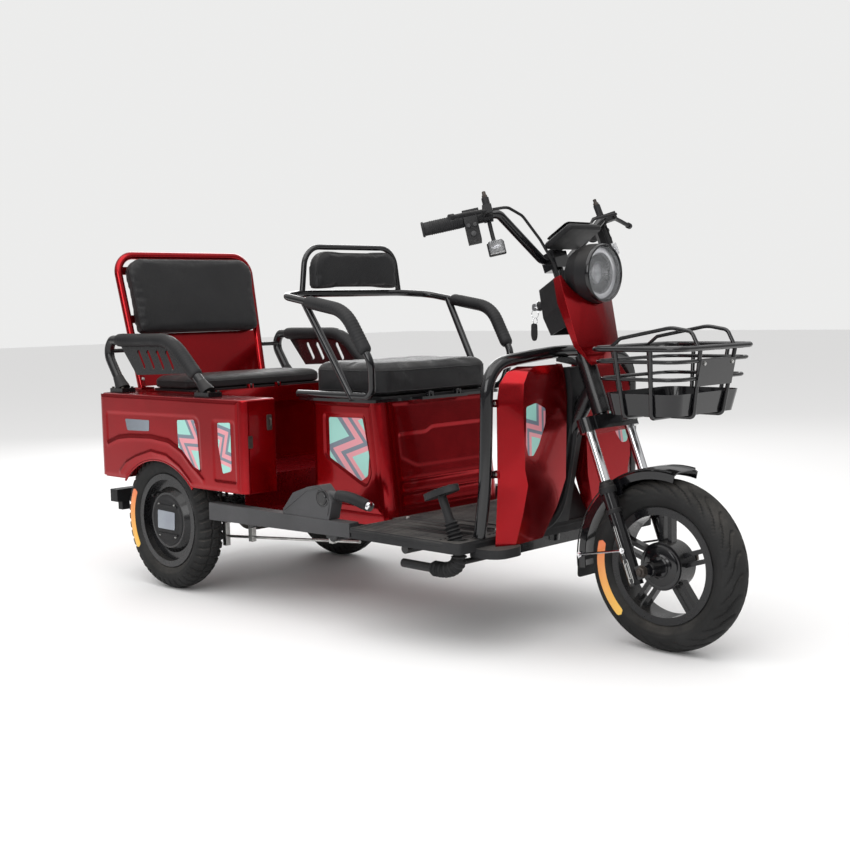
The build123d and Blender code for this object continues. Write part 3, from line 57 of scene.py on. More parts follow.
# %% Steering and grip frames
RAKE = math.radians(20.5)
FORK_AHEAD = np.array([math.cos(RAKE), 0.0, math.sin(RAKE)])
FORK_UP = np.array([-math.sin(RAKE), 0.0, math.cos(RAKE)])
FORK_FOOT = np.array([886.0, 0.0, 0.0])
AXLE_FRONT = np.array([866.0, 0.0, 208.0])
AXLE_REAR = np.array([-679.0, 0.0, 208.0])


def on_fork(points):
    """Foot + ahead * forward arrow + across * Y + along * steering axis, for rows of three numbers."""
    local = np.atleast_2d(np.asarray(points, float))
    return FORK_FOOT + local @ np.array([FORK_AHEAD, [0.0, 1.0, 0.0], FORK_UP])


BAR_BEND = on_fork([(33, -207, 1110)])[0]
BAR_END = on_fork([(-94, -330, 1121)])[0]
GRIP_OUT = (BAR_END - BAR_BEND) / np.linalg.norm(BAR_END - BAR_BEND)
GRIP_AHEAD = FORK_AHEAD - GRIP_OUT * (FORK_AHEAD @ GRIP_OUT)
GRIP_AHEAD /= np.linalg.norm(GRIP_AHEAD)
GRIP_ABOVE = np.cross(GRIP_OUT, GRIP_AHEAD)


def on_grip(points):
    """Bend of the right bar + ahead, above and outward distances along the grip's three arrows."""
    local = np.atleast_2d(np.asarray(points, float))
    return BAR_BEND + local @ np.array([GRIP_AHEAD, GRIP_ABOVE, GRIP_OUT])


print("grip length in mm:", round(float(np.linalg.norm(BAR_END - BAR_BEND)), 1))

# %% [markdown]
# ## Shapes as arrays
# A shape here is a pair: an array of points in millimetres and a list of faces. A grid of points is
# the base of nearly all of them: a wheel, a tube and a pressed sheet differ only in the function
# that places the points.

# %% Grid faces, joining and mirroring
def grid_faces(rows, columns, wrap_rows=False, wrap_columns=False):
    """Quads between neighbouring rows and columns; a wrapped direction joins its last line to its first."""
    r = np.arange(rows if wrap_rows else rows - 1)[:, None]
    c = np.arange(columns if wrap_columns else columns - 1)[None, :]
    below, right = (r + 1) % rows, (c + 1) % columns
    corners = [r * columns + c, r * columns + right, below * columns + right, below * columns + c]
    return np.stack(np.broadcast_arrays(*corners), -1).reshape(-1, 4).tolist()


def join(*shapes):
    """One shape out of several: points are stacked and each face list is shifted by what came before."""
    points, faces, start = [], [], 0
    for shape_points, shape_faces in shapes:
        points.append(shape_points)
        faces += [[index + start for index in face] for face in shape_faces]
        start += len(shape_points)
    return np.concatenate(points), faces


def mirrored(shape):
    """The same shape on the other side: Y changes sign and each face runs the other way round."""
    return shape[0] * np.array([1.0, -1.0, 1.0]), [face[::-1] for face in shape[1]]


def both(shape):
    """The shape and its twin on the other side as one shape."""
    return join(shape, mirrored(shape))


print("faces in a grid of 3 x 4 points:", len(grid_faces(3, 4)))


# %% Tubes, turned shapes and slabs
def end_faces(rings, sides):
    """A face over the first ring and one over the last, so that a row of rings becomes a solid."""
    last = (rings - 1) * sides
    return [list(range(sides))[::-1], list(range(last, last + sides))]


def tube(path, radius, sides=16, closed=False):
    """Ring at each path point: centre + r * (cos a * side + sin a * up). The side arrow is the normal
    of the plane that fits the path best, crossed with the direction of travel."""
    path = np.asarray(path, float)
    if closed:
        travel = np.roll(path, -1, 0) - np.roll(path, 1, 0)
    else:
        travel = np.gradient(path, axis=0)
    travel /= np.linalg.norm(travel, axis=1, keepdims=True)
    plane = np.linalg.svd(path - path.mean(0))[2][-1]
    side = np.cross(plane, travel)
    side /= np.linalg.norm(side, axis=1, keepdims=True)
    up = np.cross(travel, side)
    angle = np.linspace(0, 2 * np.pi, sides, endpoint=False)
    size = np.broadcast_to(np.asarray(radius, float), (len(path),))[:, None, None]
    ring = np.cos(angle)[None, :, None] * side[:, None] + np.sin(angle)[None, :, None] * up[:, None]
    points = (path[:, None] + size * ring).reshape(-1, 3)
    faces = grid_faces(len(path), sides, wrap_rows=closed, wrap_columns=True)
    if not closed:
        faces += end_faces(len(path), sides)
    return points, faces


def turned(profile, origin, axis, sides=48, caps=True):
    """Revolved profile: origin + along * axis + radius * (cos a * u + sin a * v). Caps close its ends."""
    axis = np.asarray(axis, float) / np.linalg.norm(axis)
    u = np.cross(axis, [0.31, 0.52, 0.79])
    u /= np.linalg.norm(u)
    v = np.cross(axis, u)
    along, radius = np.asarray(profile, float).T
    angle = np.linspace(0, 2 * np.pi, sides, endpoint=False)
    ring = np.cos(angle)[:, None] * u + np.sin(angle)[:, None] * v
    points = np.asarray(origin) + along[:, None, None] * axis + radius[:, None, None] * ring[None]
    faces = grid_faces(len(along), sides, wrap_columns=True)
    if caps:
        faces += end_faces(len(along), sides)
    return points.reshape(-1, 3), faces


def rounded(outline, radius, steps=5, closed=True):
    """Each corner C becomes the curve (1-t)^2 A + 2t(1-t) C + t^2 B, where A and B lie one radius
    from C along its two sides, or halfway along a side that is shorter."""
    corner = np.asarray(outline, float)
    before, after = np.roll(corner, 1, 0) - corner, np.roll(corner, -1, 0) - corner
    reach_before = np.linalg.norm(before, axis=1, keepdims=True)
    reach_after = np.linalg.norm(after, axis=1, keepdims=True)
    size = np.broadcast_to(np.asarray(radius, float).reshape(-1, 1), reach_before.shape)
    a = corner + before / reach_before * np.minimum(size, reach_before * 0.49)
    b = corner + after / reach_after * np.minimum(size, reach_after * 0.49)
    t = np.linspace(0, 1, steps)[None, :, None]
    curve = (1 - t) ** 2 * a[:, None] + 2 * t * (1 - t) * corner[:, None] + t**2 * b[:, None]
    if closed:
        return curve.reshape(-1, corner.shape[1])
    return np.concatenate([corner[:1], curve[1:-1].reshape(-1, corner.shape[1]), corner[-1:]])


def oblong(half_a, half_b, corner):
    """Outline of a rectangle about the origin, from its half lengths and its corner radius."""
    return rounded([(-half_a, -half_b), (half_a, -half_b), (half_a, half_b), (-half_a, half_b)], corner)


def measured(path):
    """Distance along the path to each of its points: the running sum of the gaps."""
    return np.concatenate([[0], np.cumsum(np.linalg.norm(np.diff(path, axis=0), axis=1))])


def read_off(path, mark, at):
    """The places at the given distances along the path, on straight lines between its points."""
    return np.stack([np.interp(at, mark, path[:, k]) for k in range(3)], 1)


def prism(base, top):
    """Solid between two rings of the same count: both rings as faces, and quads from ring to ring."""
    n = len(base)
    ring = np.arange(n)
    sides = np.stack([ring, np.roll(ring, -1), np.roll(ring, -1) + n, ring + n], -1).tolist()
    return np.concatenate([base, top]), [list(range(n))[::-1], list(range(n, 2 * n))] + sides


def slab(outline, origin, u, v, thick):
    """Flat plate: origin + a * u + b * v for the outline, and the same again one thickness along u x v."""
    outline = np.asarray(outline, float)
    u, v = np.asarray(u, float), np.asarray(v, float)
    base = np.asarray(origin) + outline[:, :1] * u + outline[:, 1:] * v
    return prism(base, base + np.cross(u, v) * thick)


def boxes(points, faces, count):
    """Many boxes of eight points each: the first box's faces, shifted by eight for each next box."""
    return points, (np.array(faces) + 8 * np.arange(count)[:, None, None]).reshape(-1, 4).tolist()


def hex_bolt(place, out, size=6.0):
    """Washer, six-sided head and shallow dome, all turned about the bolt's own axis."""
    washer = turned([(0, size * 1.15), (size * 0.18, size * 1.15), (size * 0.18, 0)], place, out, 20)
    head = turned([(0, size), (size * 0.85, size), (size, size * 0.82), (size, 0)], place, out, 6)
    return join(washer, head)


def bolts(places, size=6.0):
    """One bolt for every pair of a place and an outward arrow."""
    return join(*[hex_bolt(place, out, size) for place, out in places])


print("shape functions ready")

# %% [markdown]
# ## From arrays to Blender objects
# One helper writes the arrays into a mesh, closes seams and poles, turns faces outwards, and lets
# the piece ride on its body. Smooth shading with an edge angle keeps machined edges crisp.

# %% Make a piece
CHASSIS, FORK = "chassis", "fork_and_bars"
F = {}


def new_mesh(name, points, faces):
    """Points in millimetres and faces become a mesh in metres."""
    mesh = bpy.data.meshes.new(name)
    mesh.from_pydata((points * MM).tolist(), [], faces)
    return mesh


def place_piece(mesh, name, body, paint):
    """Gives the mesh its finish out of F and an object, and lets it move with the body."""
    mesh.materials.clear()
    mesh.materials.append(F[paint])
    thing = bpy.data.objects.new(name, mesh)
    bpy.context.scene.collection.objects.link(thing)
    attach(thing, body)
    return thing


def weld(mesh, gap, outwards=False, flat=0.0):
    """Merges points closer than the gap in metres. On request it turns the faces of a closed shape
    outwards, and makes one face of neighbours that bend less than the flat angle in degrees."""
    work = bmesh.new()
    work.from_mesh(mesh)
    bmesh.ops.remove_doubles(work, verts=work.verts, dist=gap)
    if outwards:
        bmesh.ops.recalc_face_normals(work, faces=work.faces)
    if flat > 0:
        bmesh.ops.dissolve_limit(work, angle_limit=math.radians(flat), verts=work.verts, edges=work.edges)
    work.to_mesh(mesh)
    work.free()


def shade_smooth(mesh, edge=None):
    """Smooth shading on every face; edges that bend more than the edge angle in degrees stay sharp."""
    mesh.polygons.foreach_set("use_smooth", np.ones(len(mesh.polygons), dtype=bool))
    if edge is not None:
        mesh.set_sharp_from_angle(angle=math.radians(edge))


def piece(name, shape, body, paint, edge=35, sheet=False, bevel=0.0):
    """A shape as a named object on its body; a sheet is open, and a bevel is an edge radius in mm."""
    mesh = new_mesh(name, *shape)
    weld(mesh, 1e-6, outwards=not sheet)
    shade_smooth(mesh, edge)
    thing = place_piece(mesh, name, body, paint)
    if bevel > 0:
        soften(thing, bevel)
    print(name, len(mesh.polygons), "faces")
    return thing


def soften(thing, width):
    """Rounds edges that bend more than 32 degrees, as a mould's or a press tool's radius does."""
    modifier = thing.modifiers.new("edge_radius", "BEVEL")
    modifier.width = width * MM
    modifier.segments = 2
    modifier.limit_method = "ANGLE"
    modifier.angle_limit = math.radians(32)
    modifier.harden_normals = True


print("frame nodes to finish:", len(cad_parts))


# %% Softened copies of frame nodes
CAD_GAP = 2e-5


def cad_mesh(node):
    """A copy of a frame node's mesh in its true place, without the normals stored in it."""
    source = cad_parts[node]
    mesh = source.data.copy()
    mesh.transform(source.matrix_world)
    if "custom_normal" in mesh.attributes:
        mesh.attributes.remove(mesh.attributes["custom_normal"])
    return mesh


def softened_node(node, width, body, paint, slot):
    """A merged copy of a CAD node with its flat faces whole again and its edges rounded."""
    mesh = cad_mesh(node)
    weld(mesh, CAD_GAP, flat=1.0)
    shade_smooth(mesh, 35)
    thing = place_piece(mesh, node + "_finished", body, paint)
    soften(thing, width)
    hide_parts(node)


print("gap that closes a CAD seam, in mm:", CAD_GAP / MM)

# %% [markdown]
# ## Camera, floor and soft light
# The camera stands low at the front right corner, with a slightly long lens that keeps the wheels
# round. The light is a large soft sky and three wide panels, so lacquer shows long quiet highlights
# and rubber stays matt.

# %% Camera
def aim(turn, dip, roll):
    """Three unit arrows of a camera: right, up and backwards, from its turn, its dip and its roll."""
    a, p, r = np.radians([turn, dip, roll])
    forward = np.array([-np.sin(a) * np.cos(p), np.cos(a) * np.cos(p), -np.sin(p)])
    level = np.array([np.cos(a), np.sin(a), 0.0])
    upright = np.cross(level, forward)
    right = level * np.cos(r) + upright * np.sin(r)
    return right, upright * np.cos(r) - level * np.sin(r), -forward


CAMERA_TURN, CAMERA_DIP, CAMERA_ROLL = 44.511, 5.261, -1.299
CAMERA_PLACE = (2.59266, -2.57178, 0.83523)
LENS, SENSOR = 54.92, 36.0
camera = bpy.data.objects.new("Camera", bpy.data.cameras.new("Camera"))
camera.data.lens, camera.data.sensor_width = LENS, SENSOR
camera.data.clip_end = 60.0
facing = Matrix(np.array(aim(CAMERA_TURN, CAMERA_DIP, CAMERA_ROLL)).T.tolist()).to_4x4()
camera.matrix_world = Matrix.Translation(CAMERA_PLACE) @ facing
bpy.context.scene.collection.objects.link(camera)
bpy.context.scene.camera = camera
print("lens:", camera.data.lens)


# %% Shader nodes in one line each
def node(tree, kind, inputs=None, **settings):
    """Adds a node; a socket given as an input becomes a link, any other value is set on the socket."""
    made = tree.nodes.new(kind)
    for key, value in settings.items():
        setattr(made, key, value)
    for key, value in (inputs or {}).items():
        if isinstance(value, bpy.types.NodeSocket):
            tree.links.new(value, made.inputs[key])
        else:
            made.inputs[key].default_value = value
    return made


def group(name, inputs, outputs):
    """An empty node group with named sockets, its input node's outputs, and its output node."""
    tree = bpy.data.node_groups.new(name, "ShaderNodeTree")
    for label, kind, value in inputs:
        socket = tree.interface.new_socket(label, in_out="INPUT", socket_type="NodeSocket" + kind)
        socket.default_value = value
    for label, kind in outputs:
        tree.interface.new_socket(label, in_out="OUTPUT", socket_type="NodeSocket" + kind)
    return tree, tree.nodes.new("NodeGroupInput").outputs, tree.nodes.new("NodeGroupOutput").inputs


def remap(tree, value, low, high, to_low=0.0, to_high=1.0):
    """Straight-line change of range, held at its ends."""
    ends = {"Value": value, "From Min": low, "From Max": high, "To Min": to_low, "To Max": to_high}
    return node(tree, "ShaderNodeMapRange", ends).outputs[0]


def blend_colour(tree, factor, a, b):
    """Colour a + factor * (b - a); a Mix node keeps its two colours in sockets 6 and 7."""
    return node(tree, "ShaderNodeMix", {0: factor, 6: a, 7: b}, data_type="RGBA").outputs[2]


def sums(tree, operation, *values):
    """The outcome of one Math node over the values, taken in order."""
    return node(tree, "ShaderNodeMath", dict(enumerate(values)), operation=operation).outputs[0]


def object_place(tree):
    """The shaded point in the object's own metres, so a pattern stays on its piece."""
    return node(tree, "ShaderNodeTexCoord").outputs["Object"]


print("node helpers ready")

# %% [markdown]
# ## Effects that several finishes share
# Paint, plastic and rubber all vary a little in tone, gather dust on faces that look up, and pick up
# faint rubs. Each effect is one node group that gives out a colour, a mask or a height, and every
# material sets its own numbers.

# %% Tone and gloss groups
tone, given, out = group(
    "tone",
    [("Light", "Color", (1, 1, 1, 1)), ("Dark", "Color", (0, 0, 0, 1)), ("Scale", "Float", 4.0),
     ("Dust", "Float", 0.1), ("Dust Colour", "Color", (0.32, 0.29, 0.25, 1))],
    [("Colour", "Color"), ("Dust Mask", "Float")],
)
place = object_place(tone)
cloud = node(tone, "ShaderNodeTexNoise", {"Vector": place, "Scale": given["Scale"], "Detail": 5.0})
speck = node(tone, "ShaderNodeTexNoise", {"Vector": place, "Scale": 900.0, "Detail": 2.0})
cover = node(tone, "ShaderNodeTexNoise", {"Vector": place, "Scale": 14.0, "Detail": 6.0, "Roughness": 0.7})
upward = node(tone, "ShaderNodeSeparateXYZ", {0: node(tone, "ShaderNodeNewGeometry").outputs["Normal"]})
settled = sums(tone, "MULTIPLY", remap(tone, upward.outputs[2], 0.1, 0.95),
               remap(tone, cover.outputs[0], 0.3, 0.75))
settled = sums(tone, "MULTIPLY", settled, remap(tone, speck.outputs[0], 0.35, 0.6, 0.5, 1.0))
dusty = sums(tone, "MULTIPLY", settled, given["Dust"])
base = blend_colour(tone, remap(tone, cloud.outputs[0], 0.35, 0.65), given["Dark"], given["Light"])
tone.links.new(blend_colour(tone, dusty, base, given["Dust Colour"]), out["Colour"])
tone.links.new(dusty, out["Dust Mask"])

gloss, given, out = group(
    "gloss",
    [("Low", "Float", 0.2), ("High", "Float", 0.4), ("Rubs", "Float", 0.1), ("Dust Mask", "Float", 0.0)],
    [("Roughness", "Float")],
)
place = object_place(gloss)
haze = node(gloss, "ShaderNodeTexNoise", {"Vector": place, "Scale": 22.0, "Detail": 6.0, "Roughness": 0.65})
drawn = node(gloss, "ShaderNodeMapping",
             {"Vector": place, "Rotation": (0.4, 0.9, 0.3), "Scale": (9, 260, 60)})
streak = node(gloss, "ShaderNodeTexNoise", {"Vector": drawn.outputs[0], "Scale": 1.6, "Detail": 3.0})
level = node(gloss, "ShaderNodeMapRange", {"Value": haze.outputs[0], "From Min": 0.3, "From Max": 0.7,
                                           "To Min": given["Low"], "To Max": given["High"]}).outputs[0]
rub = sums(gloss, "MULTIPLY", remap(gloss, streak.outputs[0], 0.62, 0.72), given["Rubs"])
total = sums(gloss, "ADD", sums(gloss, "ADD", level, rub), sums(gloss, "MULTIPLY", given["Dust Mask"], 0.5))
gloss.links.new(total, out["Roughness"])
print("shared colour and gloss groups:", tone.name, gloss.name)

# %% [markdown]
# ## Grain
# Moulded plastic has a spark-eroded texture of small rounded bumps. Vinyl has pebbles between
# creases. Lacquer has a faint orange peel. One group adds a cell pattern and a noise, and gives a
# height that a Bump node turns into a normal.

# %% Grain group
grain, given, out = group(
    "grain",
    [("Scale", "Float", 600.0), ("Pebble", "Float", 0.5), ("Crease", "Float", 0.0)],
    [("Height", "Float")],
)
place = object_place(grain)
ripple = node(grain, "ShaderNodeTexNoise", {"Vector": place, "Scale": given["Scale"], "Detail": 3.0})
nudge = node(grain, "ShaderNodeVectorMath", {0: ripple.outputs[1], "Scale": 0.0012}, operation="SCALE")
bent = node(grain, "ShaderNodeVectorMath", {0: place, 1: nudge.outputs[0]})
cells = node(grain, "ShaderNodeTexVoronoi", {"Vector": bent.outputs[0], "Scale": given["Scale"]},
             feature="DISTANCE_TO_EDGE")
pebble = sums(grain, "MULTIPLY", remap(grain, cells.outputs["Distance"], 0.0, 0.28), given["Pebble"])
fold = node(grain, "ShaderNodeTexNoise", {"Vector": place, "Scale": 26.0, "Detail": 4.0, "Distortion": 1.5})
valley = sums(grain, "ABSOLUTE", sums(grain, "SUBTRACT", fold.outputs[0], 0.5))
crease = sums(grain, "MULTIPLY", remap(grain, valley, 0.0, 0.03), given["Crease"])
grain.links.new(sums(grain, "ADD", sums(grain, "ADD", pebble, ripple.outputs[0]), crease), out["Height"])
print("grain group sockets:", [socket.name for socket in grain.interface.items_tree])


# %% A finish from its numbers
def new_surface(name):
    """A material kept in F under its name: its node tree and its Principled shader."""
    made = bpy.data.materials.new(name)
    made.use_nodes = True
    F[name] = made
    return made.node_tree, made.node_tree.nodes["Principled BSDF"]


def shared(tree, effect, values):
    """One of the shared groups, with its first sockets set to the values."""
    made = node(tree, "ShaderNodeGroup", node_tree=effect)
    for socket, value in zip(made.inputs, values):
        socket.default_value = value
    return made


def toned(tree, surface, light, dark, scale, dust):
    """The tone group with these numbers gives the shader its colour."""
    made = shared(tree, tone, [(*light, 1), (*dark, 1), scale, dust])
    tree.links.new(made.outputs["Colour"], surface.inputs["Base Color"])
    return made


def glossed(tree, surface, low, high, rubs):
    """The gloss group with these numbers gives the shader its roughness."""
    made = shared(tree, gloss, [low, high, rubs])
    tree.links.new(made.outputs["Roughness"], surface.inputs["Roughness"])
    return made


def raised(tree, surface, height, depth):
    """A height up to the depth in millimetres becomes the shader's normal."""
    bump = node(tree, "ShaderNodeBump", {"Height": height, "Distance": depth * MM, "Strength": 1.0})
    tree.links.new(bump.outputs[0], surface.inputs["Normal"])


def finish(name, light, dark, gloss_range, dust, rubs, tones, bump=None, **shader):
    """Principled surface: tone group to colour, gloss group to roughness, grain group through Bump to
    normal. Bump is (scale, pebble, crease, depth). What is the same all over is set on the shader."""
    tree, surface = new_surface(name)
    colour = toned(tree, surface, light, dark, tones, dust)
    rough = glossed(tree, surface, *gloss_range, rubs)
    tree.links.new(colour.outputs["Dust Mask"], rough.inputs["Dust Mask"])
    if bump:
        raised(tree, surface, shared(tree, grain, bump[:3]).outputs[0], bump[3])
    for label, value in shader.items():
        surface.inputs[label.replace("_", " ")].default_value = value


print("a finish joins:", tone.name, gloss.name, grain.name)


# %% [markdown]
# ## Paint, plastic, rubber and metal
# The red panels are a candy lacquer: a dark red with fine metal flake under a clear coat, so the
# sides that face the sky glow and the rest goes deep. Frame tubes are black enamel. Floors and
# skirts are grained plastic, and seats are vinyl.

# %% Finishes
# name, light colour, dark colour, (lowest, highest roughness), dust, rubs, tone scale, then the grain's
# (scale, pebble, crease, depth in mm) and what is set on the shader itself
finish("candy_red", (0.36, 0.0015, 0.006), (0.26, 0.001, 0.004), (0.17, 0.25), 0.0, 0.0, 2.5,
       (70, 0.0, 0, 0.02), Metallic=0.85, Coat_Weight=0.22, Coat_Roughness=0.03)
finish("red_frame", (0.28, 0.003, 0.008), (0.17, 0.002, 0.006), (0.22, 0.32), 0.0, 0.0, 5.0,
       (90, 0.0, 0, 0.02), Metallic=0.7, Coat_Weight=0.25, Coat_Roughness=0.06)
finish("black_enamel", (0.008, 0.008, 0.009), (0.005, 0.005, 0.006), (0.20, 0.34), 0.14, 0.12, 6.0,
       (420, 0.1, 0, 0.03), Specular_IOR_Level=0.3, Coat_Weight=0.3, Coat_Roughness=0.06)
finish("gloss_black", (0.006, 0.006, 0.007), (0.004, 0.004, 0.005), (0.10, 0.20), 0.06, 0.10, 3.0,
       (300, 0.1, 0, 0.01), Specular_IOR_Level=0.3, Coat_Weight=0.5, Coat_Roughness=0.03)
finish("satin_plastic", (0.016, 0.016, 0.017), (0.010, 0.010, 0.011), (0.42, 0.56), 0.12, 0.10, 5.0,
       (1300, 0.8, 0, 0.05), Specular_IOR_Level=0.25)
finish("grey_plastic", (0.050, 0.050, 0.053), (0.034, 0.034, 0.036), (0.48, 0.62), 0.16, 0.10, 5.0,
       (1100, 0.8, 0, 0.06))
finish("tyre", (0.020, 0.020, 0.020), (0.012, 0.012, 0.012), (0.66, 0.84), 0.30, 0.05, 9.0,
       (700, 0.5, 0, 0.10), Specular_IOR_Level=0.25)
finish("mat", (0.024, 0.024, 0.025), (0.015, 0.015, 0.016), (0.55, 0.72), 0.28, 0.08, 7.0,
       (800, 0.8, 0, 0.08), Specular_IOR_Level=0.25)
finish("grip", (0.018, 0.018, 0.019), (0.011, 0.011, 0.012), (0.50, 0.66), 0.06, 0.04, 9.0,
       (1600, 0.7, 0, 0.05), Specular_IOR_Level=0.25)
finish("vinyl", (0.014, 0.014, 0.015), (0.008, 0.008, 0.009), (0.34, 0.48), 0.10, 0.05, 6.0,
       (430, 1.0, 0.5, 0.28), Specular_IOR_Level=0.3, Sheen_Weight=0.04)
finish("chrome", (0.80, 0.80, 0.81), (0.70, 0.70, 0.72), (0.06, 0.16), 0.04, 0.10, 8.0, Metallic=1.0)
finish("zinc", (0.60, 0.60, 0.58), (0.42, 0.42, 0.41), (0.28, 0.44), 0.10, 0.14, 30.0,
       (240, 0.6, 0, 0.02), Metallic=1.0)
finish("iron", (0.10, 0.085, 0.075), (0.045, 0.038, 0.034), (0.45, 0.68), 0.20, 0.14, 24.0,
       (320, 0.6, 0, 0.10), Metallic=0.8)
finish("cell", (0.060, 0.066, 0.080), (0.040, 0.044, 0.054), (0.40, 0.56), 0.30, 0.10, 5.0,
       (900, 0.7, 0, 0.05))
finish("blank", (0.30, 0.33, 0.37), (0.23, 0.25, 0.29), (0.30, 0.44), 0.10, 0.12, 9.0)
finish("white_film", (0.72, 0.72, 0.70), (0.58, 0.58, 0.57), (0.35, 0.5), 0.1, 0.1, 20.0)
print(len(F), "solid finishes")

# %% [markdown]
# ## Lamps
# A tail lamp is a tinted clear moulding in front of a bright bowl. Most of what one sees is the tint,
# so the lens lets part of the light through and reflects the rest. Fine ribs inside the lens come
# from a wave along the height.


# %% Lens and reflector finishes
def lens(name, colour, through, ribs=0.0, axis="Z", spacing=4.5, haze=0.05, cover=1.0):
    """Tinted plastic with a wave of the given spacing in millimetres under its skin. A cover below one
    lets light and sight straight through a thin glass."""
    tree, surface = new_surface(name)
    optics = {"Transmission Weight": through, "IOR": 1.49, "Coat Weight": 0.5, "Alpha": cover}
    for label, value in optics.items():
        surface.inputs[label].default_value = value
    toned(tree, surface, colour, [0.72 * channel for channel in colour], 40.0, 0.03)
    glossed(tree, surface, haze, 2.4 * haze, haze)
    if ribs > 0:
        wave = node(tree, "ShaderNodeTexWave", {"Vector": object_place(tree), "Scale": 31.4 / spacing},
                    bands_direction=axis)
        raised(tree, surface, wave.outputs[1], ribs)


lens("lens_red", (0.55, 0.010, 0.008), 0.25, 1.2)
lens("lens_amber", (0.85, 0.22, 0.02), 0.25, 0.8)
lens("lens_clear", (0.92, 0.93, 0.95), 0.85, 0.6, "Y", 7.0)
lens("glass", (0.90, 0.92, 0.94), 0.0, haze=0.01, cover=0.12)
finish("bowl", (0.86, 0.86, 0.88), (0.74, 0.74, 0.77), (0.08, 0.20), 0.0, 0.02, 30.0,
       (160, 0.8, 0, 0.10), Metallic=0.7)
print("lamp finishes ready")


# %% [markdown]
# ## Printed film
# The side panels carry plain graphic film. Its colours are bands of mint, pink and slate that run
# along the film, so the film's own UV map places them: zero at one end and one at the other.

# %% Film finishes
def film(name, stops, rough=0.28, zigzag=0.0, crisp=False):
    """Colour ramp along the piece's own UV, softened by the tone of ink on film, under a clear coat."""
    tree, surface = new_surface(name)
    surface.inputs["Coat Weight"].default_value = 0.6
    own = node(tree, "ShaderNodeUVMap", uv_map="UVMap")
    split = node(tree, "ShaderNodeSeparateXYZ", {0: own.outputs[0]})
    fold = sums(tree, "PINGPONG", sums(tree, "MULTIPLY", split.outputs[1], 1.6), 0.5)
    sway = sums(tree, "MULTIPLY", sums(tree, "SUBTRACT", fold, 0.25), zigzag)
    along = sums(tree, "ADD", split.outputs[0], sway)
    ramp = node(tree, "ShaderNodeValToRGB", {0: along})
    bar = ramp.color_ramp
    bar.interpolation = "CONSTANT" if crisp else "LINEAR"
    for index, (where, colour) in enumerate(stops):
        stop = bar.elements[index] if index < 2 else bar.elements.new(where)
        stop.position, stop.color = where, (*colour, 1)
    ink = node(tree, "ShaderNodeTexNoise", {"Vector": object_place(tree), "Scale": 1200.0, "Detail": 2.0})
    wear = remap(tree, ink.outputs[0], 0.3, 0.7, 0.0, 0.10)
    worn = blend_colour(tree, wear, ramp.outputs[0], (0.6, 0.6, 0.6, 1))
    tree.links.new(worn, surface.inputs["Base Color"])
    glossed(tree, surface, rough, rough + 0.12, 0.08)


MINT, PINK, SLATE = (0.30, 0.62, 0.55), (0.72, 0.26, 0.30), (0.13, 0.17, 0.22)
BANDS = [(0.0, MINT), (0.26, SLATE), (0.40, PINK), (0.58, SLATE), (0.70, PINK), (0.84, MINT)]
film("film", BANDS, zigzag=0.9, crisp=True)
film("film_slate", [(0.0, (0.10, 0.12, 0.15)), (1.0, (0.16, 0.19, 0.23))])
film("stripe", [(0.0, (0.80, 0.16, 0.03)), (1.0, (0.88, 0.52, 0.06))], 0.4)
print("film finishes ready")

# %% Give every frame node its finish
SLOT_FINISH = {
    "tyre_rubber": "tyre", "black_enamel": "black_enamel", "red_enamel": "red_frame",
    "red_plastic": "candy_red", "black_plastic": "satin_plastic", "mat_rubber": "mat",
    "grip_rubber": "grip", "black_vinyl": "vinyl", "chrome_plate": "chrome", "axle_iron": "iron",
    "zinc_steel": "zinc", "lamp_red": "lens_red", "lamp_amber": "lens_amber", "lamp_grey": "bowl",
    "lamp_glass": "glass", "cell_case": "cell",
}
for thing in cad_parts.values():
    for slot in thing.material_slots:
        slot.material = F[SLOT_FINISH[slot.material.name.split(".")[0]]]
print("finished nodes:", len(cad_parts))

# %% Floor, sky and lamps
def floor_sheet():
    """A 56 m square of 2 x 2 points just under the wheels."""
    edge = np.array([-28.0, 28.0]) / MM
    x, y = np.meshgrid(edge, edge)
    return np.stack([x.ravel(), y.ravel(), np.full(4, -0.4)], 1), grid_faces(2, 2)


points, faces = floor_sheet()
mesh = new_mesh("floor", points, [face[::-1] for face in faces])
floor = bpy.data.objects.new("floor", mesh)
bpy.context.scene.collection.objects.link(floor)
paper = new_surface("paper")[1]
paper.inputs["Base Color"].default_value = (0.84, 0.835, 0.83, 1)
paper.inputs["Roughness"].default_value = 0.85
mesh.materials.append(F["paper"])

world = bpy.data.worlds.new("soft_sky")
bpy.context.scene.world = world
world.use_nodes = True
sky = world.node_tree
view = node(sky, "ShaderNodeSeparateXYZ", {0: node(sky, "ShaderNodeTexCoord").outputs["Generated"]})
rise = remap(sky, view.outputs[2], 0.02, 0.70)
shade = blend_colour(sky, rise, (0.11, 0.112, 0.115, 1), (1.0, 1.0, 1.0, 1))
seen = node(sky, "ShaderNodeLightPath").outputs["Is Camera Ray"]
shown = blend_colour(sky, seen, shade, (0.84, 0.84, 0.835, 1))
sky.links.new(shown, sky.nodes["Background"].inputs["Color"])
sky.nodes["Background"].inputs["Strength"].default_value = 1.0
bpy.context.scene.view_settings.view_transform = "Standard"


def panel(name, place, target, power, width, height):
    """A rectangular lamp that faces its target."""
    lamp = bpy.data.lights.new(name, "AREA")
    lamp.shape, lamp.size, lamp.size_y, lamp.energy = "RECTANGLE", width, height, power
    thing = bpy.data.objects.new(name, lamp)
    thing.location = place
    thing.rotation_euler = (Vector(target) - Vector(place)).to_track_quat("-Z", "Y").to_euler()
    bpy.context.scene.collection.objects.link(thing)


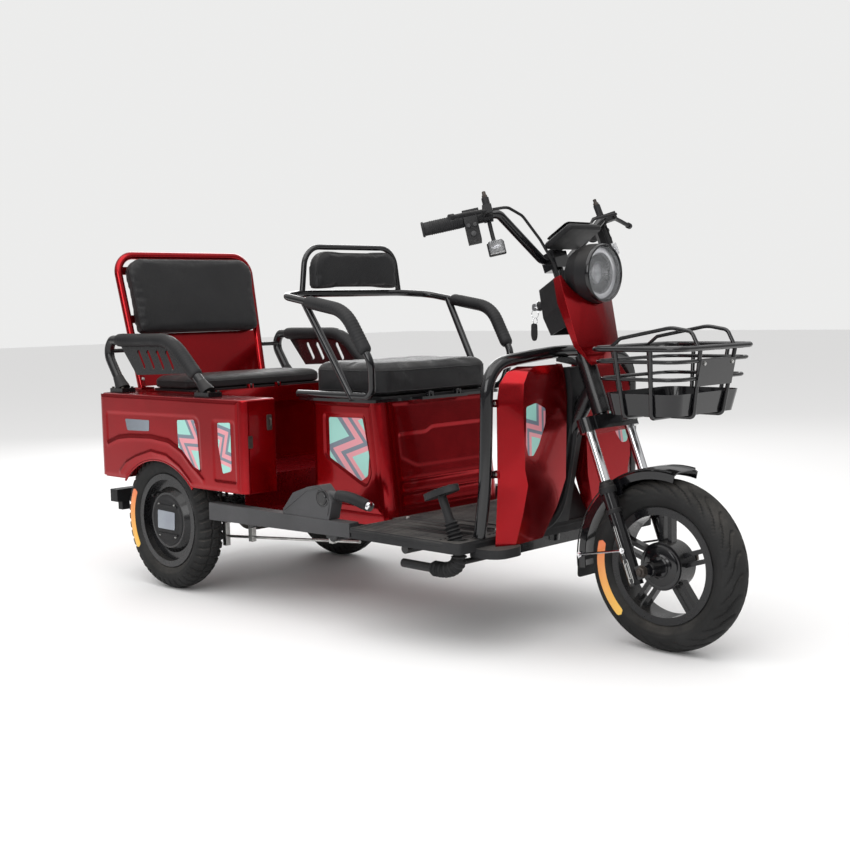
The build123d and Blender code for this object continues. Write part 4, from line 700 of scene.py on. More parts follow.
panel("overhead", (0.6, -1.2, 4.2), (0.0, 0.0, 0.4), 125, 5.6, 4.6)
panel("side", (1.6, -4.2, 2.2), (0.0, 0.0, 0.5), 62, 3.0, 2.0)
panel("rear_fill", (-3.4, 2.6, 2.4), (-0.3, 0.0, 0.5), 50, 2.4, 2.0)
print("studio ready")

# %% [markdown]
# ## Tyres
# A tyre is one rubber section carried round the axle. The section is two sidewall arcs and a crown
# arc, closed by the bead. Tread is a depth taken off the crown: the front tyre has long curved
# grooves that lead water out, the rear tyres have short cross lugs for grip. Working the depth out
# as a function of angle and width keeps every block the same without placing any by hand.

# %% Section and tread
def arc(a, b, c, count):
    """Points on the circle through a, b and c: its centre is where the two chords' middle lines cross."""
    a, b, c = (np.asarray(p, float) for p in (a, b, c))
    middle = np.linalg.solve(2 * np.array([b - a, c - b]), [b @ b - a @ a, c @ c - b @ b])
    start, mid, end = (math.atan2(*(p - middle)[::-1]) for p in (a, b, c))
    turn = (end - start) % (2 * math.pi)
    if (mid - start) % (2 * math.pi) > turn:
        turn -= 2 * math.pi
    angle = start + np.linspace(0, turn, count)
    return middle + np.linalg.norm(a - middle) * np.stack([np.cos(angle), np.sin(angle)], 1)


def smooth(x, low, high):
    """Smooth step: 3t^2 - 2t^3, with t the share of the way from low to high."""
    t = np.clip((x - low) / (high - low), 0, 1)
    return t * t * (3 - 2 * t)


def tyre_section():
    """Half widths and radii round the rubber, and each point's place across the tread (-1 to 1)."""
    wall = arc((26.7, 143), (41.5, 174), (34, 196), 17)
    crown = arc((34, 196), (0, 208), (-34, 196), 33)[1:-1]
    bead = np.array([(-26.7, 132), (-24, 127.3), (0, 127.3), (24, 127.3), (26.7, 132)])
    section = np.concatenate([wall, crown, wall[::-1] * [-1, 1], bead])
    across = np.concatenate([np.linspace(2.0, 1.0, 17), np.linspace(1, -1, 33)[1:-1], np.linspace(-1, -2, 17),
                             np.full(5, 3.0)])
    return section, across


def saw(phase, half):
    """1 inside a groove of the given half width (in turns of the phase), falling smoothly to 0 outside."""
    away = np.abs((phase + 0.5) % 1.0 - 0.5)
    return 1 - smooth(away, half * 0.6, half)


def road_tread(angle, across):
    """Curved grooves: phase = 26 turns round, bent by |across| squared and leaning with its sign."""
    w = np.abs(across)
    lean = 0.9 * w**1.7 + 0.25 * np.sin(3.0 * across)
    long_groove = saw(26 * angle / (2 * np.pi) + lean + 0.5 * (across > 0), 0.10) * smooth(w, 0.12, 0.3)
    fine = saw(26 * angle / (2 * np.pi) + 1.25 * w + 0.3, 0.05)
    fine = fine * smooth(w, 0.35, 0.5) * (1 - smooth(w, 1.0, 1.2))
    return 3.4 * long_groove * (1 - smooth(w, 1.22, 1.42)) + 1.8 * fine


def lug_tread(angle, across):
    """Cross lugs: square-edged grooves 44 times round, half a pitch apart on the two sides, and a
    zigzag groove on each side of the middle."""
    w = np.abs(across)
    cross = saw(44 * angle / (2 * np.pi) + 0.5 * (across > 0) + 0.35 * w, 0.20) * smooth(w, 0.36, 0.46)
    zigzag = np.abs((44 * angle / np.pi) % 2 - 1) * 0.12
    ring = 1 - smooth(np.abs(w - 0.30 - zigzag), 0.045, 0.085)
    block = saw(44 * angle / (2 * np.pi) + 0.25, 0.12) * (1 - smooth(w, 0.2, 0.3))
    return 5.0 * np.maximum(np.maximum(cross * (1 - smooth(w, 1.2, 1.35)), ring), 0.7 * block)


def tyre(axle, tread, columns):
    """Section point less its tread depth, turned about the axle; rings on the wall stand 0.8 mm proud."""
    section, across = tyre_section()
    nxt, prev = np.roll(section, -1, 0), np.roll(section, 1, 0)
    run = nxt - prev
    normal = np.stack([run[:, 1], -run[:, 0]], 1) / np.linalg.norm(run, axis=1, keepdims=True)
    normal *= np.sign(((section - [0, 168]) * normal).sum(1, keepdims=True))
    angle = np.linspace(0, 2 * np.pi, columns, endpoint=False)
    depth = tread(angle[None, :], across[:, None])
    w = np.abs(across)[:, None]
    rings = 0.8 * sum(np.exp(-(((w - at) / 0.035) ** 2)) for at in (1.42, 1.62, 1.9)) * (w < 2.1)
    local = section[:, None] + normal[:, None] * (rings - depth * (w < 1.5))[:, :, None]
    y, r = local[..., 0], local[..., 1]
    x, z = axle[0] + r * np.cos(angle), axle[2] + r * np.sin(angle)
    points = np.stack([x, axle[1] + y, z], -1)
    return points.reshape(-1, 3), grid_faces(len(section), columns, True, True)


HALF_TRACK = 332.5
REAR_RIGHT, REAR_LEFT = AXLE_REAR - [0, HALF_TRACK, 0], AXLE_REAR + [0, HALF_TRACK, 0]
WHEELS = {
    "front": (AXLE_FRONT, "front_road_wheel", "front_tyre", road_tread, 572),
    "rear_right": (REAR_RIGHT, "rear_road_wheel_right", "rear_tyre_right", lug_tread, 616),
    "rear_left": (REAR_LEFT, "rear_road_wheel_left", "rear_tyre_left", lug_tread, 616),
}
for side, (axle, body, tyre_node, tread, columns) in WHEELS.items():
    made = piece(side + "_tread", tyre(axle, tread, columns), body, "tyre", edge=50)
    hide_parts(tyre_node)

# %% [markdown]
# ## Wheel furniture
# The sidewalls carry a printed stripe. The front hub is a smooth brake drum cover with a step. Each
# rear wheel has a domed cover, with a blank plate between two raised bars, and a valve in the dish.

# %% Stripes on the sidewalls
def sidewall_stripe(axle, side, middle, span, low=158.0, high=178.0, count=40):
    """Ring segment with half-round ends, laid on the sidewall: the wall's half width is read off the
    section's arc at each radius, plus 0.9 mm."""
    wall = arc((26.7, 143), (41.5, 174), (34, 196), 80)
    t = np.linspace(-1, 1, count)
    across = np.linspace(-1, 1, 7)
    reach = math.radians(span) / 2
    ends = (high - low) / 2 / 168.0
    half = np.sqrt(np.clip(1 - np.clip((np.abs(t) * (reach + ends) - reach) / ends, 0, 1) ** 2, 0.0, 1))
    angle = math.radians(middle) + t * (reach + ends)
    r = (low + high) / 2 + across[:, None] * half * (high - low) / 2
    y = np.interp(r, wall[:, 1], wall[:, 0]) + 0.9
    x = axle[0] + r * np.cos(angle)
    z = axle[2] + r * np.sin(angle)
    points = np.stack([x, axle[1] + side * y, z], -1).reshape(-1, 3)
    faces = grid_faces(7, count)
    u = np.tile((t + 1) / 2, 7)
    return points, faces, np.stack([u, np.repeat((across + 1) / 2, count)], 1)


def set_uv(mesh, uv):
    """Writes the UV of each point to every face corner that uses the point."""
    corners = np.zeros(len(mesh.loops), dtype=np.int32)
    mesh.loops.foreach_get("vertex_index", corners)
    mesh.uv_layers.new(name="UVMap").data.foreach_set("uv", np.asarray(uv, float)[corners].ravel())


STRIPES = [("front", -1, 197.0, 60.0), ("front", 1, 17.0, 60.0), ("rear_right", -1, 182.0, 58.0),
           ("rear_left", 1, 182.0, 58.0)]
for side, face, middle, span in STRIPES:
    axle, body = WHEELS[side][:2]
    points, faces, uv = sidewall_stripe(axle, face, middle, span)
    label = "stripe_" + side + ("_near" if face < 0 else "_far")
    mesh = new_mesh(label, points, faces)
    if mesh.polygons[len(faces) // 2].normal.y * face < 0:
        mesh.flip_normals()
    set_uv(mesh, uv)
    shade_smooth(mesh)
    place_piece(mesh, label, body, "stripe")
print("sidewall stripes:", len(STRIPES))

# %% Hub covers
def across_disc(profile, axle, side, sides=64, caps=True):
    """A turned profile of (distance outwards, radius) about the axle, on the given side."""
    return turned(profile, axle, (0, side, 0), sides, caps)


front_cover = [(30.2, 56), (33.0, 55), (34.0, 51), (33.2, 46), (34.2, 44), (35.6, 30), (38.5, 26), (41.0, 25),
               (42.6, 22), (42.6, 9)]
covers = [across_disc(front_cover, AXLE_FRONT, side) for side in (-1, 1)]
piece("front_hub_covers", join(*covers), "front_road_wheel", "gloss_black", edge=28)
rim_lip = [(-3, 139), (0.8, 141.5), (2.4, 140), (2.4, 136), (0.4, 132), (-2.0, 130)]
for side, (axle, body, *_) in WHEELS.items():
    lips = [across_disc([(a + 28.0, r) for a, r in rim_lip], axle, s, 96, caps=False) for s in (-1, 1)]
    piece(side + "_rim_lips", join(*lips), body, "gloss_black", edge=50, sheet=True)


def rear_cover(axle, side):
    """Dome, two raised bars and a valve stem, all outside the wheel's dish."""
    dome = across_disc([(26.2, 78), (28.0, 76), (28.6, 70), (27.6, 66), (28.4, 60), (29.4, 30), (29.6, 0)],
                       axle, side)
    bars = [slab(oblong(52, 3.5, 3), axle + [0, side * 28.4, z], (1, 0, 0), (0, 0, -side), 3.0)
            for z in (43, -43)]
    valve = turned([(0, 3.2), (16, 3.2), (17, 4.2), (24, 4.2), (25, 3.0)], axle + [-74, side * 12.0, 78],
                   (0.35, side * 0.9, -0.3), 14)
    return join(dome, *bars, valve)


for side, name, axle in ((-1, "right", REAR_RIGHT), (1, "left", REAR_LEFT)):
    body = "rear_road_wheel_" + name
    cover_shape = rear_cover(axle, side)
    piece("rear_hub_cover_" + name, cover_shape, body, "satin_plastic", bevel=0.6)
    plate = rounded([(-44, -27), (42, -27), (46, 27), (-42, 29)], 5)
    shape = slab(plate, axle + [-4, side * 29.0, 0], (1, 0, 0), (0, 0, -side), 1.8)
    piece("rear_blank_plate_" + name, shape, body, "blank", bevel=0.5)
    marks = [(axle + [62 * math.cos(a), side * 28.2, 62 * math.sin(a)], (0, side, 0))
             for a in (0.9, 2.3, 4.0, 5.4)]
    piece("rear_cover_screws_" + name, bolts(marks, 3.0), body, "zinc")

# %% [markdown]
# ## Cushions
# Each seat is foam on a board, under stretched vinyl. The cover pulls tight over the top and rolls
# under the edge. A cloth simulation gives that roll: the pad's plain solid is drawn in a little,
# remeshed to even cells, blown up by air pressure, and held to a small travel so that it keeps its
# place. Where it rests on its board it stays flat.

# %% Blow up a pad
def read(mesh):
    """The mesh's points as rows of three numbers, in metres."""
    points = np.zeros(len(mesh.vertices) * 3)
    mesh.vertices.foreach_get("co", points)
    return points.reshape(-1, 3)


def even_copy(name, node, shrink, voxel):
    """The CAD pad's mesh, pulled towards its middle by the shrink distance, as an even voxel skin."""
    mesh = cad_mesh(node)
    points = read(mesh)
    low, high = points.min(0), points.max(0)
    middle, half = (low + high) / 2, (high - low) / 2
    scale = (half - np.asarray(shrink) * MM) / half
    mesh.vertices.foreach_set("co", (middle + (points - middle) * scale).ravel())
    mesh.materials.clear()
    weld(mesh, CAD_GAP)
    thing = bpy.data.objects.new(name, mesh)
    bpy.context.scene.collection.objects.link(thing)
    remesh = thing.modifiers.new("even", "REMESH")
    remesh.mode, remesh.voxel_size = "VOXEL", voxel * MM
    return thing


def baked(thing):
    """Replaces the object's mesh by what its modifiers make of it."""
    graph = bpy.context.evaluated_depsgraph_get()
    mesh = bpy.data.meshes.new_from_object(thing.evaluated_get(graph))
    thing.modifiers.clear()
    thing.data = mesh


AIR_FRAMES = 20


def blown(name, node, body, shrink, cap, rest, voxel=6.0, dip=None):
    """Cloth pressure for some frames; a point's travel d is scaled by min(1, cap / |d|); then nothing may
    pass the plane the pad rests on, given as a point and an arrow that points into the pad. A dip adds
    its own travel along that arrow."""
    thing = even_copy(name, node, shrink, voxel)
    baked(thing)
    before = read(thing.data)
    cloth = thing.modifiers.new("air", "CLOTH")
    cloth.settings.quality = 5
    cloth.settings.use_pressure = True
    cloth.settings.uniform_pressure_force = 4.0
    cloth.settings.effector_weights.gravity = 0.0
    cloth.settings.tension_stiffness = cloth.settings.compression_stiffness = 12.0
    cloth.settings.bending_stiffness = 1.5
    for step in range(1, AIR_FRAMES + 1):
        bpy.context.scene.frame_set(step)
    baked(thing)
    bpy.context.scene.frame_set(1)
    after = read(thing.data)
    travel = after - before
    length = np.linalg.norm(travel, axis=1, keepdims=True)
    after = before + travel * np.minimum(1.0, cap * MM / np.maximum(length, 1e-9))
    place, inward = np.asarray(rest[0]) * MM, np.asarray(rest[1], float)
    inward /= np.linalg.norm(inward)
    short = np.minimum((after - place) @ inward, 0.0)
    after -= short[:, None] * inward
    if dip is not None:
        after += dip(after / MM)[:, None] * np.asarray([inward]) * MM
    thing.data.vertices.foreach_set("co", after.ravel())
    thing.data.materials.clear()
    thing.data.materials.append(F["vinyl"])
    shade_smooth(thing.data)
    finer = thing.modifiers.new("finer", "SUBSURF")
    finer.levels = finer.render_levels = 1
    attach(thing, body)
    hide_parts(node)
    reached = round(float(length.max() / MM), 1)
    print(name, "moved up to", reached, "mm, faces", len(thing.data.polygons))
    return thing


def seat_dip(points):
    """A sitter's hollow: 4 mm at the middle of the top, fading as a bell along and across."""
    top = smooth(points[:, 2], 660, 684)
    return -4.0 * top * np.exp(-(((points[:, 0] + 20) / 120) ** 2) - (points[:, 1] / 190) ** 2)


LEAN_UP = np.array([-97.0, 0.0, 440.0]) / math.hypot(97, 440)
LEAN_OUT = np.array([LEAN_UP[2], 0.0, -LEAN_UP[0]])


def on_lean(rows):
    """Rows of (across, up the lean, out towards the rider's back) to places."""
    local = np.atleast_2d(np.asarray(rows, float))
    return np.array([-960.0, 0, 590.0]) + local @ np.array([[0.0, 1.0, 0.0], LEAN_UP, LEAN_OUT])


driver = blown("driver_seat_pad", "driver_cushion", "driver_lid", (3, 3, 4), 9, ((0, 0, 597), (0, 0, 1)),
               dip=seat_dip)
bench = blown("bench_seat_pad", "bench_cushion", "bench_lid", (3, 3, 3), 7, ((0, 0, 596), (0, 0, 1)))
head = blown("headrest_vinyl", "headrest_pad", CHASSIS, (3, 3, 3), 5, ((-231, 0, 900), (1, 0, 0)),
             voxel=4.0)
back_plate = on_lean([(0, 200, 2.2)])[0]
back = blown("backrest_vinyl", "backrest_pad", CHASSIS, (3, 2, 2), 6, (back_plate, LEAN_OUT))

# %% [markdown]
# ## Welts and seams
# A welt is a thin cord sewn between the top panel and the side band. Here a ring of points near the
# pad is dropped onto the swollen skin, so the welt follows whatever shape the air gave it.

# %% Welts
def ring_on(thing, points, radius, name, body):
    """Each ring point moves to the nearest point of the pad's finished skin; a thin tube follows them."""
    graph = bpy.context.evaluated_depsgraph_get()
    tree = BVHTree.FromObject(thing, graph)
    dense = rounded(points, 40, 12)
    dense = np.vstack([dense, dense[:1]])
    mark = measured(dense)
    even = read_off(dense, mark, np.linspace(0, mark[-1], int(mark[-1] / 7), endpoint=False))
    near = np.array([tree.find_nearest(Vector(p * MM))[0] for p in even]) / MM
    near = (np.roll(near, 1, 0) + near + np.roll(near, -1, 0)) / 3
    return piece(name, tube(near, radius, 8, closed=True), body, "vinyl", edge=80)


def box_ring(low, high, z):
    """Four corners of a level rectangle, from two opposite corners and the height."""
    return [(low[0], low[1], z), (high[0], low[1], z), (high[0], high[1], z), (low[0], high[1], z)]


ring_on(driver, box_ring((-172, -224), (129, 224), 669), 1.7, "driver_welt_top", "driver_lid")
ring_on(driver, box_ring((-172, -224), (129, 224), 606), 1.5, "driver_welt_low", "driver_lid")
ring_on(bench, box_ring((-890, -268), (-657, 268), 622), 1.5, "bench_welt", "bench_lid")
face = [(-193, -155, 890), (-193, 155, 890), (-193, 155, 995), (-193, -155, 995)]
ring_on(head, face, 1.4, "headrest_welt", CHASSIS)
face = on_lean([(-236, 174, 34), (236, 174, 34), (247, 419, 34), (-247, 419, 34)])
ring_on(back, face, 1.7, "backrest_welt", CHASSIS)

# %% [markdown]
# ## Arm pads
# The arms wear moulded foam sleeves, a little wider than they are high, with shallow ribs so an elbow
# doesn't slide. A tube whose radius changes with a wave along its length gives the ribs, and the
# sleeve ends round off.

# %% Arm sleeves
def even_path(points, radius, step):
    """The route with rounded corners, measured along its length and read off at equal steps."""
    dense = rounded(points, radius, 14, closed=False)
    mark = measured(dense)
    keep = np.append(np.diff(mark) > 1e-6, True)
    mark, dense = mark[keep], dense[keep]
    at = np.linspace(0, mark[-1], max(4, int(mark[-1] / step)))
    return read_off(dense, mark, at), at


def sleeve(route, bend, radius, wave, pitch, flat):
    """Radius = r * (rounded ends) + wave * cos(2 pi distance / pitch). Across the route's plane it keeps
    its width, and within the plane it is squeezed to the flat share."""
    path, at = even_path(route, bend, 3.0)
    ends = np.sqrt(np.clip(np.minimum(at, at[-1] - at) / 10.0, 0.02, 1))
    body = (at > 26) & (at < at[-1] - 26)
    size = radius * (0.72 + 0.28 * ends) + wave * np.cos(2 * np.pi * at / pitch) * body
    points, faces = tube(path, size, 28)
    middle = np.repeat(path, 28, 0)
    away = points - middle
    plane = np.linalg.svd(path - path.mean(0))[2][-1]
    across = (away @ plane)[:, None] * plane
    return middle + across + (away - across) * flat, faces


seat_sleeve = sleeve([(131, -280, 717), (64, -288, 826), (-88, -286.2, 852.4)], 46, 19.5, 0.7, 9.0, 0.88)
rear_sleeve = sleeve([(-938, -340, 749), (-650, -340, 749), (-529.6, -340, 644.2)], 60, 22.0, 0.7, 9.0, 0.92)
arm_shapes = both(join(seat_sleeve, rear_sleeve))
arms = piece("arm_sleeves", arm_shapes, CHASSIS, "grip", edge=60)
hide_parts("arm_pads")

# %% [markdown]
# ## Pressed panels
# The frame's panels are exact but knife-sharp. Real sheet steel is folded over a radius and moulded
# covers have a small radius on every corner, which is what catches the light. Softened copies of
# those nodes stand for them.

# %% Soften the sharp nodes
SOFTENED = [
    ("cowl", 5.0, FORK, "candy_red", "red_plastic"),
    ("leg_shield_right", 4.0, CHASSIS, "candy_red", "red_plastic"),
    ("leg_shield_left", 4.0, CHASSIS, "candy_red", "red_plastic"),
    ("seat_base", 3.0, CHASSIS, "candy_red", "red_enamel"),
    ("side_pod_right", 3.0, CHASSIS, "candy_red", "red_enamel"),
    ("side_pod_left", 3.0, CHASSIS, "candy_red", "red_enamel"),
    ("bench_box", 2.5, CHASSIS, "candy_red", "red_enamel"),
    ("column_cover", 2.0, CHASSIS, "satin_plastic", "black_plastic"),
    ("column_shroud", 5.0, FORK, "satin_plastic", "black_plastic"),
    ("parking_brake", 3.0, CHASSIS, "grey_plastic", "black_enamel"),
    ("side_skirts", 5.0, CHASSIS, "grey_plastic", "black_enamel"),
    ("rear_bumper", 3.0, CHASSIS, "satin_plastic", "black_enamel"),
    ("dash", 3.0, FORK, "satin_plastic", "black_plastic"),
    ("controls", 2.0, FORK, "satin_plastic", "black_plastic"),
    ("front_mudguard", 1.2, FORK, "gloss_black", "black_plastic"),
    ("tail_lights", 2.5, CHASSIS, "lens_red", "lamp_red"),
    ("footboard", 4.0, CHASSIS, "mat", "mat_rubber"),
]
for row in SOFTENED:
    softened_node(*row)
for node_name in ("handlebar", "fork_yoke", "leg_guard", "seat_frame", "basket", "fork_legs"):
    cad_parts[node_name].material_slots[0].material = F["gloss_black"]
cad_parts["backrest_frame"].material_slots[0].material = F["candy_red"]
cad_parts["headlight"].material_slots[0].material = F["satin_plastic"]
print("softened nodes:", len(SOFTENED))

# %% [markdown]
# ## Embossed sides
# The side boxes and the seat box are pressed with a sunk field, raised lines and a double arch over
# the wheel, which stiffen thin sheet. Each side gets a skin: a grid of points whose height over the
# flat side is a sum of ridges (a bell curve of the distance to a line) and fields (a smooth step of
# the distance inside an outline).

# %% Ridges, fields and skins
def distance(points, line, closed=False):
    """Shortest distance from each point to a chain of straight segments."""
    line = np.asarray(line, float)
    start, end = (line, np.roll(line, -1, 0)) if closed else (line[:-1], line[1:])
    run = end - start
    t = ((points[:, None] - start) * run).sum(-1) / (run**2).sum(-1)
    near = start + np.clip(t, 0, 1)[..., None] * run
    return np.linalg.norm(points[:, None] - near, axis=-1).min(1)


def inside(points, outline):
    """True where a ray to the right crosses the outline an odd number of times."""
    a = np.asarray(outline, float)
    b = np.roll(a, -1, 0)
    x, y = points[:, :1], points[:, 1:]
    rise = np.where(b[:, 1] == a[:, 1], 1e-9, b[:, 1] - a[:, 1])
    crosses = ((a[:, 1] > y) != (b[:, 1] > y)) & (x < (b[:, 0] - a[:, 0]) * (y - a[:, 1]) / rise + a[:, 0])
    return crosses.sum(1) % 2 == 1


def ridge(points, line, width, height):
    """A raised line: height * exp(-(distance / width)^2)."""
    return height * np.exp(-((distance(points, line) / width) ** 2))


def field(points, outline, height, slope):
    """Height inside the outline, reached over the slope's width from its edge."""
    soft = rounded(outline, 14, 6)
    return height * inside(points, soft) * smooth(distance(points, soft, True), 0, slope)


STAND_OFF, EDGE_OFF, LEAST_OFF, BORDER = 2.2, 0.3, 0.25, 9.0


def skin_height(flat, rim, relief):
    """Edge height + ramp * (stand-off - edge height + relief), where the ramp climbs from 0 at the rim
    to 1 at the border's width."""
    ramp = smooth(distance(flat, rim, True), 0, BORDER)
    return np.maximum(EDGE_OFF + ramp * (STAND_OFF - EDGE_OFF + relief(flat)), LEAST_OFF)


def skin(u_range, low, high, columns, rows, relief, place):
    """Grid between two edges given as functions of u, raised by the skin height."""
    u = np.linspace(*u_range, columns)
    share = np.linspace(0, 1, rows)[:, None]
    v = low(u) * (1 - share) + high(u) * share
    flat = np.stack([np.broadcast_to(u, v.shape), v], -1).reshape(-1, 2)
    rim = np.concatenate([np.stack([u, low(u)], 1), np.stack([u, high(u)], 1)[::-1]])
    return place(flat, skin_height(flat, rim, relief)), grid_faces(rows, columns)


def pressing(name, surface, out):
    """A skin in lacquer on the chassis; if it looks inwards, its faces are turned round."""
    thing = piece(name, surface, CHASSIS, "candy_red", edge=80, sheet=True)
    if thing.data.polygons[0].normal @ Vector(out) < 0:
        thing.data.flip_normals()


print("a skin stands off its flat side by", STAND_OFF, "mm")


# %% Side box skins
OUTER_ARCH = [(-938, 430), (-880, 449), (-819, 456), (-702, 460), (-612, 452), (-548, 427), (-497, 386),
              (-446, 350)]
INNER_ARCH = [(-875, 345), (-840, 374), (-788, 395), (-705, 417), (-626, 409), (-562, 381), (-515, 345),
              (-497, 328)]
SUNK = [(-946, 532), (-472, 538), (-452, 522), (-448, 372), (-497, 380), (-548, 421), (-612, 446),
        (-702, 454), (-819, 450), (-880, 443), (-946, 420)]
SUNK_FRONT = [(-396, 531), (-288, 531), (-284, 350), (-396, 350)]
POD_FACE = 390
ARCH_X, ARCH_Z, ARCH_RADIUS = -679, 150.4, 243.6


def pod_relief(p):
    """Two sunk fields, with a double ridge over the wheel."""
    field_depth = field(p, SUNK, -1.7, 10) + field(p, SUNK_FRONT, -1.6, 10)
    return field_depth + ridge(p, OUTER_ARCH, 7, 1.6) + ridge(p, INNER_ARCH, 6, 1.4)


def pod_floor(u):
    """The panel's lower edge: level at 329, lifted over the wheel to 1 mm outside the lip's circle."""
    reach = ARCH_RADIUS + 1
    return np.maximum(329.0, ARCH_Z + np.sqrt(np.clip(reach**2 - (u - ARCH_X) ** 2, 0, None)))


def pod_place(flat, height):
    """Rows of (x, z) on the right side box, standing out by the height."""
    return np.stack([flat[:, 0], -POD_FACE - height, flat[:, 1]], 1)


pod_skin = skin((-972, -277), pod_floor, lambda u: np.full_like(u, 584.0), 232, 84, pod_relief, pod_place)
shape = (pod_skin[0], [face[::-1] for face in pod_skin[1]])
pressing("pod_pressing_right", shape, (0, -1, 0))
pressing("pod_pressing_left", mirrored(shape), (0, 1, 0))
angle = np.radians(np.linspace(44, 136, 60))
lip = np.stack([ARCH_X + ARCH_RADIUS * np.cos(angle), np.full(60, 1.5 - POD_FACE),
                ARCH_Z + ARCH_RADIUS * np.sin(angle)], 1)
piece("wheel_arch_lips", both(tube(lip, 3.6, 10)), CHASSIS, "candy_red", edge=70)

# %% Seat box skins
RECESS = [(-112, 547), (58, 551), (76, 430), (82, 386), (60, 350), (30, 360), (-112, 427)]
SKIRT_LINE = [(-150, 300), (110, 300)]
SEAT_FACE = 220
FRONT_RUN, FRONT_RISE = 36, 305


def seat_front(z):
    """X of the seat box's sloping front at height z."""
    return 152 - (z - 278) * FRONT_RUN / FRONT_RISE


def seat_side_place(flat, height):
    """Rows of (x, z) on the right face of the seat box, standing out by the height."""
    return np.stack([flat[:, 0], -SEAT_FACE - height, flat[:, 1]], 1)


def side_relief(p):
    """One sunk field, with a ridge along the foot."""
    return field(p, RECESS, -1.8, 8) + ridge(p, SKIRT_LINE, 6, 1.2)


def upright_skin(u_low, u_high, z_low, z_high, columns, rows, relief, place):
    """Skin whose sides may lean: u runs between two functions of z."""
    z = np.linspace(z_low, z_high, rows)[:, None]
    u = u_low(z) * (1 - np.linspace(0, 1, columns)) + u_high(z) * np.linspace(0, 1, columns)
    flat = np.stack([u, np.broadcast_to(z, u.shape)], -1)
    rim = np.concatenate([flat[0], flat[:, -1], flat[-1][::-1], flat[::-1, 0]])
    flat = flat.reshape(-1, 2)
    return place(flat, skin_height(flat, rim[::3], relief)), grid_faces(rows, columns)


seat_side = upright_skin(lambda z: -150 + 0 * z, lambda z: seat_front(z) - 40, 284, 578, 90, 100,
                         side_relief, seat_side_place)
FRONT_FIELD = [(-172, 500), (-60, 500), (-40, 512), (172, 512), (172, 400), (-110, 400), (-172, 430)]


def front_relief(p):
    """One sunk field, with three ridges below it."""
    low_lines = ridge(p, [(-178, 372), (150, 372)], 6, 1.6) + ridge(p, [(-178, 340), (160, 340)], 6, 1.6)
    return field(p, FRONT_FIELD, -1.7, 12) + low_lines + ridge(p, [(-178, 306), (178, 306)], 5, 1.0)


def seat_front_place(flat, height):
    """Rows of (y, z) on the sloping front, standing out by the height along the slope's normal."""
    step = height / math.hypot(FRONT_RUN, FRONT_RISE)
    x = seat_front(flat[:, 1]) + step * FRONT_RISE
    return np.stack([x, flat[:, 0], flat[:, 1] + step * FRONT_RUN], 1)


seat_face = upright_skin(lambda z: -180 + 0 * z, lambda z: 180 + 0 * z, 284, 578, 110, 100,
                         front_relief, seat_front_place)
pressing("seat_box_pressing_right", seat_side, (0, -1, 0))
pressing("seat_box_pressing_left", mirrored(seat_side), (0, 1, 0))
pressing("seat_box_pressing_front", seat_face, (1, 0, 0))

# %% [markdown]
# ## Film patches
# Graphic film is cut to the sunk fields, so its edges are protected. Its pattern is only bands that
# fold back and forth. Every patch has its own map: one direction along the film, one across.

# %% Cut and lay film
def patch(name, outline, lift, origin, u, v, paint, lean):
    """A plate of film 0.35 mm thick with rounded corners, lifted off the plane of u and v; its UV is the
    outline turned by the lean in radians and scaled to 0..1."""
    cut = rounded(outline, 6)
    u, v = np.asarray(u, float), np.asarray(v, float)
    n = np.cross(u, v)
    points, faces = slab(cut, np.asarray(origin) + n * lift, u, v, 0.35)
    turn = np.array([[math.cos(lean), -math.sin(lean)], [math.sin(lean), math.cos(lean)]])
    flat = cut @ turn.T
    flat = (flat - flat.min(0)) / (flat.max(0) - flat.min(0))
    mesh = new_mesh(name, points, faces)
    set_uv(mesh, np.vstack([flat, flat]))
    place_piece(mesh, name, CHASSIS, paint)


POD_FILM = [(-565, 519), (-482, 524), (-469, 489), (-460, 380), (-474, 376), (-563, 436)]
POD_SLIP = [(-370, 520), (-311, 523), (-311, 387), (-352, 377), (-369, 457)]
POD_LABEL = [(-839, 511), (-709, 512), (-712, 479), (-829, 476)]
SEAT_FILM = [(-88, 536), (47, 539), (70, 440), (63, 384), (37, 368), (-88, 425)]
SHIELD_FILM = [(-205, 589), (-166, 596), (-128, 580), (-130, 543), (-158, 493), (-180, 469), (-200, 471),
               (-208, 498)]
SIDE_PATCHES = [
    ("pod_film_", POD_FILM, 0.9, POD_FACE, "film", 0.5),
    ("pod_film_slip_", POD_SLIP, 0.9, POD_FACE, "film", 2.6),
    ("pod_label_", POD_LABEL, 0.9, POD_FACE, "film_slate", 0.0),
    ("seat_film_", SEAT_FILM, 0.7, SEAT_FACE, "film", 0.25),
]
for side, name in ((-1, "right"), (1, "left")):
    for label, outline, lift, out, paint, lean in SIDE_PATCHES:
        patch(label + name, np.array(outline) * [-side, 1.0], lift, (0, side * out, 0), (-side, 0, 0),
              (0, 0, 1), paint, lean)
print("film patches laid")

# %% [markdown]
# ## Headlamp
# The lamp is a black shell with a clear front. Inside are a pale light ring, a ring of dark fins and
# a domed projector in a bright bowl. Fins are thin plates set round the axis, all made at once by
# turning one plate's corner points through every angle.

# %% Lamp insides
LAMP = np.array([0.0, 0.0, 904.0])


